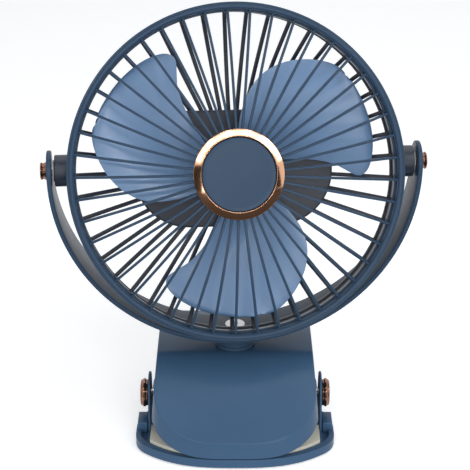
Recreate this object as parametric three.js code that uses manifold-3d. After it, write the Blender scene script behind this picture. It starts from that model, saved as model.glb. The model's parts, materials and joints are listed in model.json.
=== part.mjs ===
// A small clip fan: a round caged head tilts in a half-hoop yoke, and the yoke swivels on a
// spring clip whose flat underside also serves as a table foot. Millimetres, +Z up, the front
// of the fan faces -Y, and the origin lies on the table under the swivel axis.
import * as THREE from 'three';
import { mergeVertices } from 'three/addons/utils/BufferGeometryUtils.js';
import Module from 'manifold-3d';

const wasm = await Module();
wasm.setup();

// ---------------------------------------------------------------- driving dimensions

const gap = 0.3; // between pieces that touch
const runningGap = 0.3; // around a shaft or screw in its hole
const reach = 1; // how far a cutting body runs past what it cuts

// pose in which the fan stands
const restTilt = 18.5; // degrees, front of the head turned up
const restSwivel = 4.5; // degrees, yoke turned on the clip

// head
const rimRadius = 93;
const headDrop = 3.4; // the middle of the head lies this far under the tilt axis
const rimWall = 2.8;
const rimFlange = 4; // radial depth of the flanges that hold the spokes
const rimFront = 17; // ahead of the tilt axis
const rimBack = 12; // behind the tilt axis
const frontFrameDepth = 5.5;
const rearFlangeDepth = 2.6;
const spigotDepth = 5;
const spigotWall = 2;
const spokeCount = 45;
const frontSpokeWidth = 1.4;
const frontSpokeDepth = 3.4;
const rearSpokeWidth = 2.3;
const rearSpokeDepth = 3.2;
const spokeRoot = 1.6; // how far a spoke runs into its flange

// hub in the middle of the front grille
const hubRadius = 24.4;
const hubPlateDepth = 3.6;
const hubFace = 28.1; // ahead of the tilt axis
const trimOuterRadius = 24.6;
const trimInnerRadius = 20.3;
const trimDepth = 2.9; // at the inner edge
const trimEdgeDepth = 0.9; // at the outer edge
const trimRound = 0.5;
const hubCapDepth = 2.1;
const hubCapDish = 0.5;

// impeller
const bladeCount = 3;
const bladeTipRadius = 81.8;
const bladeThickness = 1.8;
const bladeAxialSpan = 17;
const bladeFront = 8; // ahead of the tilt axis
const bladeStart = 2; // degrees round the hub at which the blade lies furthest back
const bladeSweep = 84; // degrees over which it comes forward
const bladeCamber = 2.2;
const bladeEdge = 0.3; // share of the thickness left at the edges
// share of the way out, then the angles of the two edges in degrees
const bladeOutline = [
  [0, 20, 88], [0.1, 15, 86], [0.23, 11.3, 84], [0.35, 8.6, 81.3], [0.48, 5.9, 78], [0.6, 3, 73.6],
  [0.69, 0, 69], [0.763, -2.3, 64.6], [0.825, -3.5, 60.2], [0.876, -2.8, 56.3], [0.92, 0, 52.6],
  [0.953, 5.5, 49.6], [0.975, 13, 47.3], [0.99, 22, 45], [1, 32, 42],
];
const impellerHubRadius = 18.5;
const impellerHubFront = 14;
const impellerHubRound = 3;
const impellerHubWall = 2.4;
const impellerHubBack = 10;
const impellerBossRadius = 4.5;
const nutAcross = 7;
const nutHeight = 3;

// motor housing, cell and controls
const housingWidth = 113;
const housingHeight = 66;
const housingCorner = 0.94 * housingHeight / 2;
const housingLift = 1.3; // its middle lies this far above the head's axis
const housingWall = 2;
const housingFront = 13; // behind the tilt axis
const housingSplit = 27;
const housingBack = 46;
const coverRound = 6;
const motorLength = 14.5;
const motorBossHole = 4; // radius, in the wall in front of the motor
const shaftRadius = 1.5;
const shaftEnd = 1; // past its nut
const motorEndWall = 2;
const motorRound = 0.8;
const cellRadius = 9.1;
const cellCapShare = 0.35; // of the cell's radius
const cellCapDepth = 1.2;
const cellToMotor = 0.4;
const cellToWall = 0.45;
const cellLength = 65;
const cellIntoCorner = Math.max(0, cellLength / 2 - housingWidth / 2 + housingCorner);
const innerCorner = housingCorner - housingWall;
const cornerRise = innerCorner - Math.sqrt(innerCorner ** 2 - cellIntoCorner ** 2);
const cellBottom = housingLift - housingHeight / 2 + housingWall + cornerRise + cellToWall;
const cellCentreZ = cellBottom + cellRadius;
const motorRadius = -cellCentreZ - cellRadius - cellToMotor;
const cellRound = 0.8;
const boardWidth = 72;
const boardHeight = 48;
const boardThickness = 1.6;
const boardCentre = 2; // above the head's axis
const boardPegSpread = 33;
const boardPegTop = 18;
const boardPegBottom = cellCentreZ + cellRadius + 4.2;
const boardPegRadius = 2.4;
const boardHoleRadius = 1.4;
const buttonRadius = 7;
const buttonFlange = 1.6;
const buttonHeight = 10; // above the head's axis
const buttonStandOut = 1.4;
const buttonTravel = 0.8;
const buttonDish = 0.4;
const switchSize = 6;
const chipDepth = 1.2;
const chips = [[12, 2, 7], [-20, 4, 5], [-24, -12, 4]]; // left, bottom and size
const windowLength = 14;
const windowHeight = 3;
const windowPlace = -5;
const windowStandOut = 0.1;
const socketWidth = 9;
const socketHeight = 3.4;
const socketWall = 0.5;
const tongueHalf = 0.35;
const tongueSide = 1.8; // from the end of the socket
const socketPlace = -17;
const socketSunk = 0.4; // under the back face
const socketEnd = 1.5;
const coverScrewX = 40;
const coverScrewZ = 20;
const coverScrewRadius = 1.3;
const coverScrewHead = 2.6;
const coverScrewSeat = 5; // under the back face
const coverScrewHeadDepth = 2;
const coverScrewSlot = 0.7;
const coverScrewRound = 0.8;
const coverScrewHole = 2; // from the front wall to the end of the hole
const coverBossRadius = 3.6;

// yoke and tilt pivots
const yokeWall = 2.6;
const yokeClearance = 8.4; // between the rim and the inside of the yoke
const yokeRadius = rimRadius + yokeClearance + yokeWall;
const yokeTopHalfWidth = 11.4;
const yokeBottomHalfWidth = 15.6;
const pivotBossRadius = 8.8;
const pivotWasherWall = 0.6;
const pivotWasherRadius = 6;
const pivotWall = 1.4; // left at the blind end of the pivot bore
const pivotScrewRadius = 2.5;
const pivotHeadRadius = 4;
const pivotHeadDepth = 1.5;
const pivotCapRadius = 5;
const pivotCapWaist = 0.8;
const pivotCapEnd = 1.7;
const pivotCapDish = 0.8;

// swivel
const clipHeight = 52; // top of the clip
const collarHeight = 7.4;
const pivotHeight = clipHeight + collarHeight + 2 * gap + yokeRadius;
const collarRadius = 10.5;
const collarFlange = 1.2;
const collarFoot = 1.6;
const swivelBoltRadius = 3;
const swivelHeadRadius = 5.8;
const swivelHeadDepth = 1.9;
const swivelKey = 3.4; // across the flats of the hexagon in its head
const swivelKeyDepth = 1.2;
const swivelBoltEnd = 1; // past its nut
const swivelWasherRadius = 8;
const swivelWasherWall = 1;
const swivelNutAcross = 10;
const swivelNutHeight = 4;

// lower jaw
const basePadDepth = 1.6;
const basePadProud = 0.6;
const basePadInset = 4;
const lowerArcRadius = 72.5;
const lowerArcCentre = 18.5;
const lowerHalfWidth = 58;
const lowerShoulder = -12; // where the wide front part starts to draw in
const lowerCornerRadius = 7;
const lowerRimTop = 7.4;
const toePocketBack = -19;
const lowerRimWall = 3;
const lowerFloor = 2.4;
const lowerRear = 50;
const lowerRearTop = 5;
const rearStepBehind = 4; // behind the foot of the ears
const floorInset = 2; // between the ears and the hollow behind them
const lowerRearCorner = 14;
const earInner = 49.7;
const earWall = 1.4;
const earRise = 13; // above the hinge axis
const earFoot = 16; // half length at the foot
const earRound = 9.36; // at the top
const earSillTop = 9;
const earSillLength = 28; // ahead of the hinge

// upper jaw
const upperHalfWidth = 49.3; // at the flare height
const flareHeight = 8;
const flarePerMillimetre = 0.0018;
const toeDepth = 36.8; // from the tip of the lip back to the full width
const toePower = 3; // the higher, the flatter the tip and the tighter its corners
const panelToeShare = 0.92; // depth of the curve at the foot of the panel, of that of the lip
const upperWall = 2.4;
const upperPlate = 2.6;
const lipBottom = 8;
const lipTop = 16.5;
const panelRun = 38; // from the lip back to the flat top
const topHalfLength = 14.2;
const handleRear = 50;
const handleRearTop = 48;
const handleSkirt = 6.5;
const handleCorner = 15;
const mouthSideHeight = 8.2;
const mouthSideLength = 36;
const mouthSideRise = 5; // behind that, where the wall starts to rise to the hinge
const shelfWall = 2.1;

// jaw pads
const padWidth = 98.6;
const padBand = 12;
const lowerPadInset = 5; // from the outside of the lower jaw
const lowerPadTop = 9.8;
const lowerPadLedge = 7.7; // top of the part that lies under and outside the upper lip
const upperPadHeight = 3;
const upperPadLength = 24; // behind the tip of the lip
const padClearance = 0.6; // between the lower pad's face and the inside of the upper lip
const padGrooves = 3;
const padGrooveWidth = 1.2;
const padGrooveDepth = 0.8;

// hinge and springs
const hingeY = -6;
const hingeZ = 22;
const hingePinRadius = 2;
const hingeLobeRadius = 7.6;
const hingeCapRadius = 8.5;
const hingeCapDepth = 4.5;
const hingeCapBand = 1.5;
const springRadius = 5.4;
const springWire = 0.8; // radius
const springTurns = 5;
const springPitch = 2.1;
const springCentre = 27; // from the middle of the fan
const springLegY = 24;

const ringSides = 60;
const hubSides = 36;
const discSides = 24;
const smallSides = 12;
const arcError = 0.16; // greatest distance between an outline's arc and its facets
const far = 2 * rimRadius; // beyond anything in the clip, for bodies that only cut

// ---------------------------------------------------------------- materials

const slate = new THREE.MeshStandardMaterial({ color: 0x34485f, roughness: 0.42, metalness: 0 });
const slateDark = new THREE.MeshStandardMaterial({ color: 0x222b36, roughness: 0.5, metalness: 0 });
const clipBlue = new THREE.MeshStandardMaterial({ color: 0x47688a, roughness: 0.35, metalness: 0 });
const bladeBlue = new THREE.MeshStandardMaterial({ color: 0x7f9fc4, roughness: 0.35, metalness: 0 });
const roseGold = new THREE.MeshStandardMaterial({ color: 0xb9826a, roughness: 0.18, metalness: 1 });
const steel = new THREE.MeshStandardMaterial({ color: 0x9a9da1, roughness: 0.3, metalness: 1 });
const springSteel = new THREE.MeshStandardMaterial({ color: 0x6f7276, roughness: 0.35, metalness: 1 });
const padRubber = new THREE.MeshStandardMaterial({ color: 0xc9c8b8, roughness: 0.8, metalness: 0 });
const footRubber = new THREE.MeshStandardMaterial({ color: 0x2a2c2f, roughness: 0.85, metalness: 0 });
const nylon = new THREE.MeshStandardMaterial({ color: 0xd8d8d4, roughness: 0.6, metalness: 0 });
const boardGreen = new THREE.MeshStandardMaterial({ color: 0x1f5a3a, roughness: 0.6, metalness: 0 });
const cellBlue = new THREE.MeshStandardMaterial({ color: 0x3c7f8f, roughness: 0.4, metalness: 0 });
const lampClear = new THREE.MeshStandardMaterial({ color: 0xdfe8ea, roughness: 0.15, metalness: 0 });

// ---------------------------------------------------------------- geometry helpers

// Merges shared corners, drops triangles without area and turns the faces outwards.
function closed(geometry) {
  const bare = geometry.clone();
  bare.deleteAttribute('normal');
  bare.deleteAttribute('uv');
  const merged = mergeVertices(bare, 1e-4);
  const corner = (i) => new THREE.Vector3().fromBufferAttribute(merged.attributes.position, i);
  const index = merged.index.array;
  const kept = [];
  let volume = 0;
  for (let i = 0; i < index.length; i += 3) {
    const [a, b, c] = index.slice(i, i + 3);
    if (a === b || b === c || c === a) continue;
    kept.push(a, b, c);
    volume += corner(a).dot(corner(b).cross(corner(c)));
  }
  merged.setIndex(volume < 0 ? kept.reverse() : kept);
  return merged;
}

function solid(geometry) {
  const { attributes, index } = closed(geometry);
  return new wasm.Manifold(new wasm.Mesh({
    numProp: 3,
    vertProperties: new Float32Array(attributes.position.array),
    triVerts: new Uint32Array(index.array),
  }));
}

function geometryOf(body) {
  const { vertProperties, triVerts } = body.getMesh();
  const geometry = new THREE.BufferGeometry();
  geometry.setAttribute('position', new THREE.BufferAttribute(vertProperties, 3));
  geometry.setIndex(new THREE.BufferAttribute(triVerts, 1));
  return geometry;
}

// A revolved body. Its axis is Y, which is the axis of the fan's head.
function turned(profile, sides = discSides) {
  const points = profile.map(([radius, along]) => new THREE.Vector2(radius, along));
  return new THREE.LatheGeometry(points, sides);
}

function turnedRing(profile, sides = discSides) {
  return turned([...profile, profile[0]], sides);
}

// A plain cylinder along Y from one place to another.
function bar(radius, from, to, sides = smallSides) {
  return turned([[0, from], [radius, from], [radius, to], [0, to]], sides);
}

// Turns a body made along Y so that it lies along X or stands along Z.
const alongX = (geometry) => geometry.rotateZ(-Math.PI / 2);
const upright = (geometry) => geometry.rotateX(Math.PI / 2);

// Points along an arc, as many as its size and sweep need.
function arc(x, y, radius, from, to) {
  const step = 2 * Math.acos(1 - arcError / radius);
  const count = Math.ceil(Math.abs(to - from) / step);
  const points = [];
  for (let i = 0; i <= count; i += 1) {
    const angle = from + (to - from) * i / count;
    points.push([x + radius * Math.cos(angle), y + radius * Math.sin(angle)]);
  }
  return points;
}

// Points that round the corner between two lines, without the corner itself.
function bend(from, corner, to) {
  const steps = 4;
  const points = [];
  for (let i = 0; i <= steps; i += 1) {
    const t = i / steps;
    const weights = [(1 - t) ** 2, 2 * t * (1 - t), t ** 2];
    points.push([0, 1].map((k) => weights[0] * from[k] + weights[1] * corner[k] + weights[2] * to[k]));
  }
  return points;
}

const mirrored = (points) => points.map(([x, y]) => [-x, y]).reverse();

// A closed line of points as a shape.
function outline(points) {
  return new THREE.Shape(points.map(([x, y]) => new THREE.Vector2(x, y)));
}

// A shape seen from above, standing from one height to another.
function raised(shape, from, to) {
  const geometry = new THREE.ExtrudeGeometry(shape, { depth: to - from, bevelEnabled: false });
  return geometry.translate(0, 0, from);
}

// A shape seen from the right, drawn in Y and Z, running from one X to another.
function sideways(shape, from, to) {
  const turn = new THREE.Matrix4().makeBasis(
    new THREE.Vector3(0, 1, 0), new THREE.Vector3(0, 0, 1), new THREE.Vector3(1, 0, 0));
  return raised(shape, from, to).applyMatrix4(turn);
}

// A shape seen from the front, drawn in X and Z, running from one Y to another.
function frontal(shape, from, to, options = { bevelEnabled: false }) {
  const turn = new THREE.Matrix4().makeBasis(
    new THREE.Vector3(1, 0, 0), new THREE.Vector3(0, 0, 1), new THREE.Vector3(0, -1, 0));
  const geometry = new THREE.ExtrudeGeometry(shape, { ...options, depth: to - from });
  return geometry.applyMatrix4(turn).translate(0, to, 0);
}

function roundedRectangle(width, height, corner) {
  const x = width / 2 - corner;
  const y = height / 2 - corner;
  const quarter = Math.PI / 2;
  return outline([
    ...arc(x, -y, corner, -quarter, 0), ...arc(x, y, corner, 0, quarter),
    ...arc(-x, y, corner, quarter, 2 * quarter), ...arc(-x, -y, corner, 2 * quarter, 3 * quarter),
  ]);
}

function box(x, y, z) {
  const size = [x, y, z].map(([from, to]) => to - from);
  const middle = [x, y, z].map(([from, to]) => (from + to) / 2);
  return new THREE.BoxGeometry(...size).translate(...middle);
}

function hexagon(across) {
  const corner = across / Math.sqrt(3);
  return outline([0, 1, 2, 3, 4, 5].map((i) => [
    corner * Math.cos(i * Math.PI / 3), corner * Math.sin(i * Math.PI / 3)]));
}

function piece(name, body, material) {
  const geometry = body.getMesh ? geometryOf(body) : closed(body);
  const mesh = new THREE.Mesh(geometry, material);
  mesh.name = name;
  return mesh;
}

const sides = [['left', -1], ['right', 1]];

// ---------------------------------------------------------------- front grille

const frameBack = -rimFront + frontFrameDepth;
const rimInner = rimRadius - rimWall;
const flangeInner = rimRadius - rimFlange;

// A fin along a curved line in the plane through the head's axis, repeated round the axis.
function spokes(curve, from, to, width, depth) {
  const steps = 3;
  const line = [];
  for (let i = 0; i <= steps; i += 1) {
    const radius = from + (to - from) * i / steps;
    line.push([radius, curve(radius)]);
  }
  const edge = (shift) => line.map(([radius, along]) => [radius, along + shift]);
  const shape = outline([...edge(-depth / 2), ...edge(depth / 2).reverse()]);
  const fin = new THREE.ExtrudeGeometry(shape, { depth: width, bevelEnabled: false });
  fin.translate(0, 0, -width / 2);
  const fins = [];
  for (let i = 0; i < spokeCount; i += 1) {
    fins.push(solid(fin.clone().rotateY((i + 0.5) * 2 * Math.PI / spokeCount)));
  }
  return wasm.Manifold.union(fins);
}

function frontSpokeLine(radius) {
  const inner = -hubFace + frontSpokeDepth / 2 + 0.1;
  const outer = -rimFront + frontFrameDepth / 2;
  const share = (radius - hubRadius) / (flangeInner - hubRadius);
  return inner + (outer - inner) * Math.max(0, share) ** 2.1;
}

function frontGrille() {
  const bevel = 1;
  const step = 1.6;
  const spigotOuter = rimInner - gap;
  const spigotInner = spigotOuter - spigotWall;
  const rim = solid(turnedRing([
    [flangeInner, frameBack], [flangeInner, -rimFront + bevel], [flangeInner + bevel, -rimFront],
    [rimRadius - step, -rimFront], [rimRadius - step, -rimFront + step], [rimRadius, -rimFront + step],
    [rimRadius, frameBack], [spigotOuter, frameBack], [spigotOuter, frameBack + spigotDepth],
    [spigotInner, frameBack + spigotDepth], [spigotInner, frameBack],
  ], ringSides));
  const hub = solid(bar(hubRadius, -hubFace, -hubFace + hubPlateDepth, hubSides));
  const fins = spokes(
    frontSpokeLine, hubRadius - spokeRoot, flangeInner + spokeRoot, frontSpokeWidth, frontSpokeDepth);
  return rim.add(hub).add(fins);
}

function hubTrimRing() {
  const back = -hubFace - gap;
  return turnedRing([
    [trimOuterRadius, back], [trimInnerRadius, back], [trimInnerRadius, back - trimDepth + trimRound],
    [trimInnerRadius + trimRound, back - trimDepth],
    [trimOuterRadius - trimRound, back - trimEdgeDepth - trimRound / 2],
    [trimOuterRadius, back - trimEdgeDepth],
  ], hubSides);
}

function hubCap() {
  const back = -hubFace - gap;
  const radius = trimInnerRadius - gap;
  const edge = back - hubCapDepth;
  return turned([
    [0, back], [radius, back], [radius, edge + 0.4], [radius - 0.4, edge],
    [0, edge + hubCapDish],
  ], hubSides);
}

// ---------------------------------------------------------------- rear grille and housing

function rearSpokeLine(radius) {
  const inner = housingSplit - rearSpokeDepth;
  const outer = rimBack - rearFlangeDepth / 2;
  const start = housingHeight / 2;
  const share = (radius - start) / (flangeInner - start);
  return inner + (outer - inner) * Math.max(0, share) ** 1.9;
}

function housingBlock(inset, from, to) {
  const shape = roundedRectangle(housingWidth - 2 * inset, housingHeight - 2 * inset, housingCorner - inset);
  return solid(frontal(shape, from, to).translate(0, 0, housingLift));
}

// How far out a flat piece of this half width can reach before it meets the hoop.
function insideHoop(halfWidth) {
  return Math.sqrt((yokeRadius - yokeWall) ** 2 - halfWidth ** 2) - arcError;
}

function pivotBoss(side) {
  const end = side * (insideHoop(pivotBossRadius) - 2 * gap - pivotWasherWall);
  const root = side * (rimRadius - rimWall / 2);
  const boss = alongX(bar(pivotBossRadius, Math.min(root, end), Math.max(root, end), discSides));
  return solid(boss.translate(0, 0, headDrop));
}

function pivotBore(side) {
  const end = side * (yokeRadius - yokeWall);
  const root = side * (rimRadius - rimWall / 2 + pivotWall);
  const radius = pivotScrewRadius + runningGap;
  const bore = alongX(bar(radius, Math.min(root, end), Math.max(root, end), smallSides));
  return solid(bore.translate(0, 0, headDrop));
}

const coverScrewPlaces = [[1, 1], [-1, 1], [-1, -1], [1, -1]];
const boardFront = housingFront + housingWall + gap + 2 * cellRadius + gap;
const cellCentreY = housingFront + housingWall + gap + cellRadius;

function rearGrille() {
  const wallFace = housingFront + housingWall;
  const rim = solid(turnedRing([
    [rimInner, frameBack + gap], [rimRadius, frameBack + gap], [rimRadius, rimBack - 1],
    [rimRadius - 1, rimBack], [flangeInner, rimBack], [flangeInner, rimBack - rearFlangeDepth],
    [rimInner, rimBack - rearFlangeDepth],
  ], ringSides));
  const fins = spokes(
    rearSpokeLine, housingHeight / 2 - 4, flangeInner + spokeRoot, rearSpokeWidth, rearSpokeDepth);
  const cutFins = fins.subtract(housingBlock(housingWall / 2, -reach, housingBack));
  let tub = housingBlock(0, housingFront, housingSplit - gap)
    .subtract(housingBlock(housingWall, wallFace, housingSplit + reach));
  tub = tub.subtract(solid(bar(motorBossHole, housingFront - reach, wallFace + reach)));
  for (const [x, z] of coverScrewPlaces) {
    const boss = bar(coverBossRadius, wallFace - reach, housingSplit - gap);
    const hole = bar(coverScrewRadius + runningGap, wallFace + coverScrewHole, housingSplit + reach);
    const place = (geometry) => solid(geometry.translate(x * coverScrewX, 0, z * coverScrewZ));
    tub = tub.add(place(boss)).subtract(place(hole));
  }
  for (const x of [-boardPegSpread, boardPegSpread]) {
    for (const z of [boardPegTop, boardPegBottom]) {
      const peg = bar(boardPegRadius, wallFace - reach, boardFront - gap);
      tub = tub.add(solid(peg.translate(x, 0, z)));
    }
  }
  let body = rim.add(cutFins).add(tub);
  for (const [, side] of sides) {
    body = body.add(pivotBoss(side).subtract(solid(bar(rimInner, -rimFront, rimBack, ringSides))));
    body = body.subtract(pivotBore(side));
  }
  return body;
}

function coverBlock(inset, back) {
  const round = coverRound - inset;
  const shape = roundedRectangle(
    housingWidth - 2 * inset - 2 * round, housingHeight - 2 * inset - 2 * round, housingCorner - inset - round);
  const geometry = frontal(shape, housingSplit - round, back - round, {
    bevelEnabled: true, bevelSize: round, bevelThickness: round, bevelSegments: 2,
  });
  return solid(geometry.translate(0, 0, housingLift));
}

function rearCover() {
  const span = [-housingWidth, housingWidth];
  const ahead = (edge) => solid(box(span, [-housingBack, edge], span));
  const inner = coverBlock(housingWall, housingBack - housingWall);
  let body = coverBlock(0, housingBack).subtract(inner).subtract(ahead(housingSplit));
  const through = [housingBack - housingWall - reach, housingBack + reach];
  for (const [x, z] of coverScrewPlaces) {
    const place = (geometry) => solid(geometry.translate(x * coverScrewX, 0, z * coverScrewZ));
    const seat = housingBack - coverScrewSeat;
    const post = bar(coverBossRadius, housingSplit, housingBack - housingWall / 2);
    body = body.add(place(post))
      .subtract(place(bar(coverScrewRadius + runningGap, housingSplit - reach, housingBack + reach)))
      .subtract(place(bar(coverScrewHead + runningGap, seat, housingBack + reach)));
  }
  const buttonHole = bar(buttonRadius + gap, ...through, discSides).translate(0, 0, buttonHeight);
  const windowHole = frontal(
    roundedRectangle(windowLength + 2 * gap, windowHeight + 2 * gap, windowHeight / 2 + gap), ...through);
  const socketHole = frontal(
    roundedRectangle(socketWidth + 2 * gap, socketHeight + 2 * gap, socketHeight / 2 + gap), ...through);
  return body.subtract(solid(buttonHole))
    .subtract(solid(windowHole.translate(0, 0, windowPlace)))
    .subtract(solid(socketHole.translate(0, 0, socketPlace)));
}

function powerButton() {
  const inside = housingBack - housingWall - gap;
  const front = housingBack + buttonStandOut;
  return turned([
    [0, inside - buttonFlange], [buttonRadius + buttonFlange, inside - buttonFlange],
    [buttonRadius + buttonFlange, inside], [buttonRadius, inside], [buttonRadius, front - 0.5],
    [buttonRadius - 0.5, front], [0, front - buttonDish],
  ], discSides).translate(0, 0, buttonHeight);
}

function circuitBoard() {
  const back = boardFront + boardThickness;
  const bottom = boardCentre - boardHeight / 2;
  const top = boardCentre + boardHeight / 2;
  const half = boardWidth / 2;
  const board = solid(box([-half, half], [boardFront, back], [bottom, top]));
  const switchTop = housingBack - housingWall - gap - buttonFlange - buttonTravel - gap;
  const switchHalf = switchSize / 2;
  const tall = solid(box([-switchHalf, switchHalf], [back - reach / 2, switchTop],
    [buttonHeight - switchHalf, buttonHeight + switchHalf]));
  let body = board.add(tall);
  for (const [x, z, size] of chips) {
    body = body.add(solid(box([x, x + size], [back - reach / 2, back + chipDepth], [z, z + size])));
  }
  for (const x of [-boardPegSpread, boardPegSpread]) {
    for (const z of [boardPegTop, boardPegBottom]) {
      const hole = bar(boardHoleRadius, boardFront - reach, back + reach);
      body = body.subtract(solid(hole.translate(x, 0, z)));
    }
  }
  return body;
}

function usbSocket() {
  const from = boardFront + boardThickness + gap;
  const to = housingBack - socketSunk;
  const hollow = roundedRectangle(
    socketWidth - 2 * socketWall, socketHeight - 2 * socketWall, socketHeight / 2 - socketWall);
  const tongueWide = socketWidth / 2 - tongueSide;
  const tongue = box([-tongueWide, tongueWide], [from + reach, to - socketEnd], [-tongueHalf, tongueHalf]);
  return solid(frontal(roundedRectangle(socketWidth, socketHeight, socketHeight / 2), from, to))
    .subtract(solid(frontal(hollow, from + socketEnd, to + reach)))
    .add(solid(tongue))
    .translate([0, 0, socketPlace]);
}

function ledWindow() {
  const shape = roundedRectangle(windowLength, windowHeight, windowHeight / 2);
  return frontal(shape, housingBack - housingWall, housingBack + windowStandOut).translate(0, 0, windowPlace);
}

function batteryCell() {
  const half = cellLength / 2;
  const cap = cellRadius * cellCapShare;
  const shoulder = half - cellCapDepth;
  return alongX(turned([
    [0, -half], [cellRadius - cellRound, -half], [cellRadius, -half + cellRound],
    [cellRadius, shoulder - cellRound], [cellRadius - cellRound, shoulder], [cap, shoulder], [cap, half], [0, half],
  ], smallSides * 2)).translate(0, cellCentreY, cellCentreZ);
}

function motorCan() {
  const from = housingFront + housingWall + gap;
  const to = from + motorLength;
  const bore = shaftRadius + runningGap;
  return turned([
    [0, to], [0, to - motorEndWall], [bore, to - motorEndWall], [bore, from], [motorRadius - motorRound, from],
    [motorRadius, from + motorRound], [motorRadius, to - motorRound], [motorRadius - motorRound, to], [0, to],
  ], discSides);
}

function coverScrew(x, z) {
  const seat = housingBack - coverScrewSeat + gap;
  const end = seat + coverScrewHeadDepth;
  const point = housingFront + housingWall + coverScrewHole + reach;
  const bodyLine = [
    [0, point], [coverScrewRadius, point + 2 * reach], [coverScrewRadius, seat], [coverScrewHead, seat],
    [coverScrewHead, end - coverScrewRound], [coverScrewHead - coverScrewRound, end], [0, end],
  ];
  const slot = (wide, high) => solid(box([-wide, wide], [end - reach, end + reach], [-high, high]));
  const slotHalf = coverScrewHead - coverScrewRound;
  return solid(turned(bodyLine, smallSides))
    .subtract(slot(slotHalf, coverScrewSlot / 2))
    .subtract(slot(coverScrewSlot / 2, slotHalf))
    .translate([x * coverScrewX, 0, z * coverScrewZ]);
}

// ---------------------------------------------------------------- impeller

function blade() {
  const acrossSteps = 5;
  const outSteps = bladeOutline.length - 1;
  const inner = impellerHubRadius - impellerHubWall / 2;
  const positions = [];
  const at = (side, i, j) => side * (outSteps + 1) * (acrossSteps + 1) + i * (acrossSteps + 1) + j;
  for (const side of [0, 1]) {
    for (let i = 0; i <= outSteps; i += 1) {
      const [out, first, last] = bladeOutline[i];
      const radius = inner + (bladeTipRadius - inner) * out;
      for (let j = 0; j <= acrossSteps; j += 1) {
        const share = j / acrossSteps;
        const degrees = first + (last - first) * share;
        const angle = degrees * Math.PI / 180;
        const pitch = (degrees - bladeStart) / bladeSweep;
        const camber = bladeCamber * Math.sin(Math.PI * share);
        const edge = Math.sin(Math.PI * Math.min(1, 4 * Math.min(share, 1 - share)) / 2);
        const half = bladeThickness * (bladeEdge + (1 - bladeEdge) * edge) / 2;
        const along = -bladeFront + bladeAxialSpan * (1 - pitch) - camber + (side ? half : -half);
        positions.push(radius * Math.cos(angle), along, radius * Math.sin(angle));
      }
    }
  }
  const faces = [];
  const quad = (a, b, c, d) => faces.push(a, b, c, a, c, d);
  for (let i = 0; i < outSteps; i += 1) {
    for (let j = 0; j < acrossSteps; j += 1) {
      quad(at(0, i, j), at(0, i + 1, j), at(0, i + 1, j + 1), at(0, i, j + 1));
      quad(at(1, i, j), at(1, i, j + 1), at(1, i + 1, j + 1), at(1, i + 1, j));
    }
    quad(at(0, i, 0), at(1, i, 0), at(1, i + 1, 0), at(0, i + 1, 0));
    quad(at(0, i, acrossSteps), at(0, i + 1, acrossSteps), at(1, i + 1, acrossSteps), at(1, i, acrossSteps));
  }
  for (let j = 0; j < acrossSteps; j += 1) {
    quad(at(0, 0, j), at(0, 0, j + 1), at(1, 0, j + 1), at(1, 0, j));
    quad(at(0, outSteps, j), at(1, outSteps, j), at(1, outSteps, j + 1), at(0, outSteps, j + 1));
  }
  const geometry = new THREE.BufferGeometry();
  geometry.setAttribute('position', new THREE.Float32BufferAttribute(positions, 3));
  geometry.setIndex(faces);
  return geometry;
}

function impeller() {
  const front = -impellerHubFront;
  const bore = shaftRadius + runningGap / 2;
  const bossBack = impellerHubBack - 1;
  const inner = impellerHubRadius - impellerHubWall;
  const cup = solid(turnedRing([
    [bore, front], [impellerHubRadius - impellerHubRound, front], [impellerHubRadius, front + impellerHubRound],
    [impellerHubRadius, impellerHubBack], [inner, impellerHubBack], [inner, front + impellerHubRound + gap],
    [impellerHubRadius - impellerHubRound - reach, front + impellerHubWall],
    [impellerBossRadius, front + impellerHubWall], [impellerBossRadius, bossBack], [bore, bossBack],
  ], discSides));
  const inside = solid(bar(inner, -rimFront, housingFront, discSides));
  let body = cup;
  for (let i = 0; i < bladeCount; i += 1) {
    const turnedBlade = solid(blade().rotateY(i * 2 * Math.PI / bladeCount));
    body = body.add(turnedBlade.subtract(inside));
  }
  return body;
}

const nutFront = -impellerHubFront - gap - nutHeight;

function motorShaft() {
  const end = housingFront + housingWall + gap + motorLength - motorEndWall - gap;
  return bar(shaftRadius, nutFront - shaftEnd, end);
}

function impellerNut() {
  const hole = solid(bar(shaftRadius + runningGap / 2, nutFront - reach, nutFront + nutHeight + reach));
  return solid(frontal(hexagon(nutAcross), nutFront, nutFront + nutHeight)).subtract(hole);
}

// ---------------------------------------------------------------- yoke

// Half hoop seen from the front, cut to a tapered strap with round upper ends seen from the side.
function yoke() {
  const inner = yokeRadius - yokeWall;
  const top = yokeTopHalfWidth + reach;
  const hoop = outline([
    [-yokeRadius, top], ...arc(0, 0, yokeRadius, Math.PI, 2 * Math.PI), [yokeRadius, top],
    [inner, top], ...arc(0, 0, inner, 2 * Math.PI, Math.PI), [-inner, top],
  ]);
  const strap = outline([
    [-yokeBottomHalfWidth, -yokeRadius - reach], [yokeBottomHalfWidth, -yokeRadius - reach],
    ...arc(0, 0, yokeTopHalfWidth, 0, Math.PI),
  ]);
  const half = yokeBottomHalfWidth + reach;
  const side = yokeRadius + reach;
  let body = solid(frontal(hoop, -half, half))
    .intersect(solid(sideways(strap, -side, side)));
  const pivot = solid(alongX(bar(pivotScrewRadius + runningGap, -side, side)));
  const swivel = solid(upright(bar(swivelBoltRadius + runningGap, -side, 0)));
  body = body.subtract(pivot).subtract(swivel);
  return body;
}

function pivotWasher(side) {
  const outer = side * (insideHoop(pivotWasherRadius) - gap);
  const inner = outer - side * pivotWasherWall;
  const hole = pivotScrewRadius + runningGap;
  return alongX(turnedRing([
    [hole, inner], [pivotWasherRadius, inner], [pivotWasherRadius, outer], [hole, outer],
  ], smallSides));
}

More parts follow.
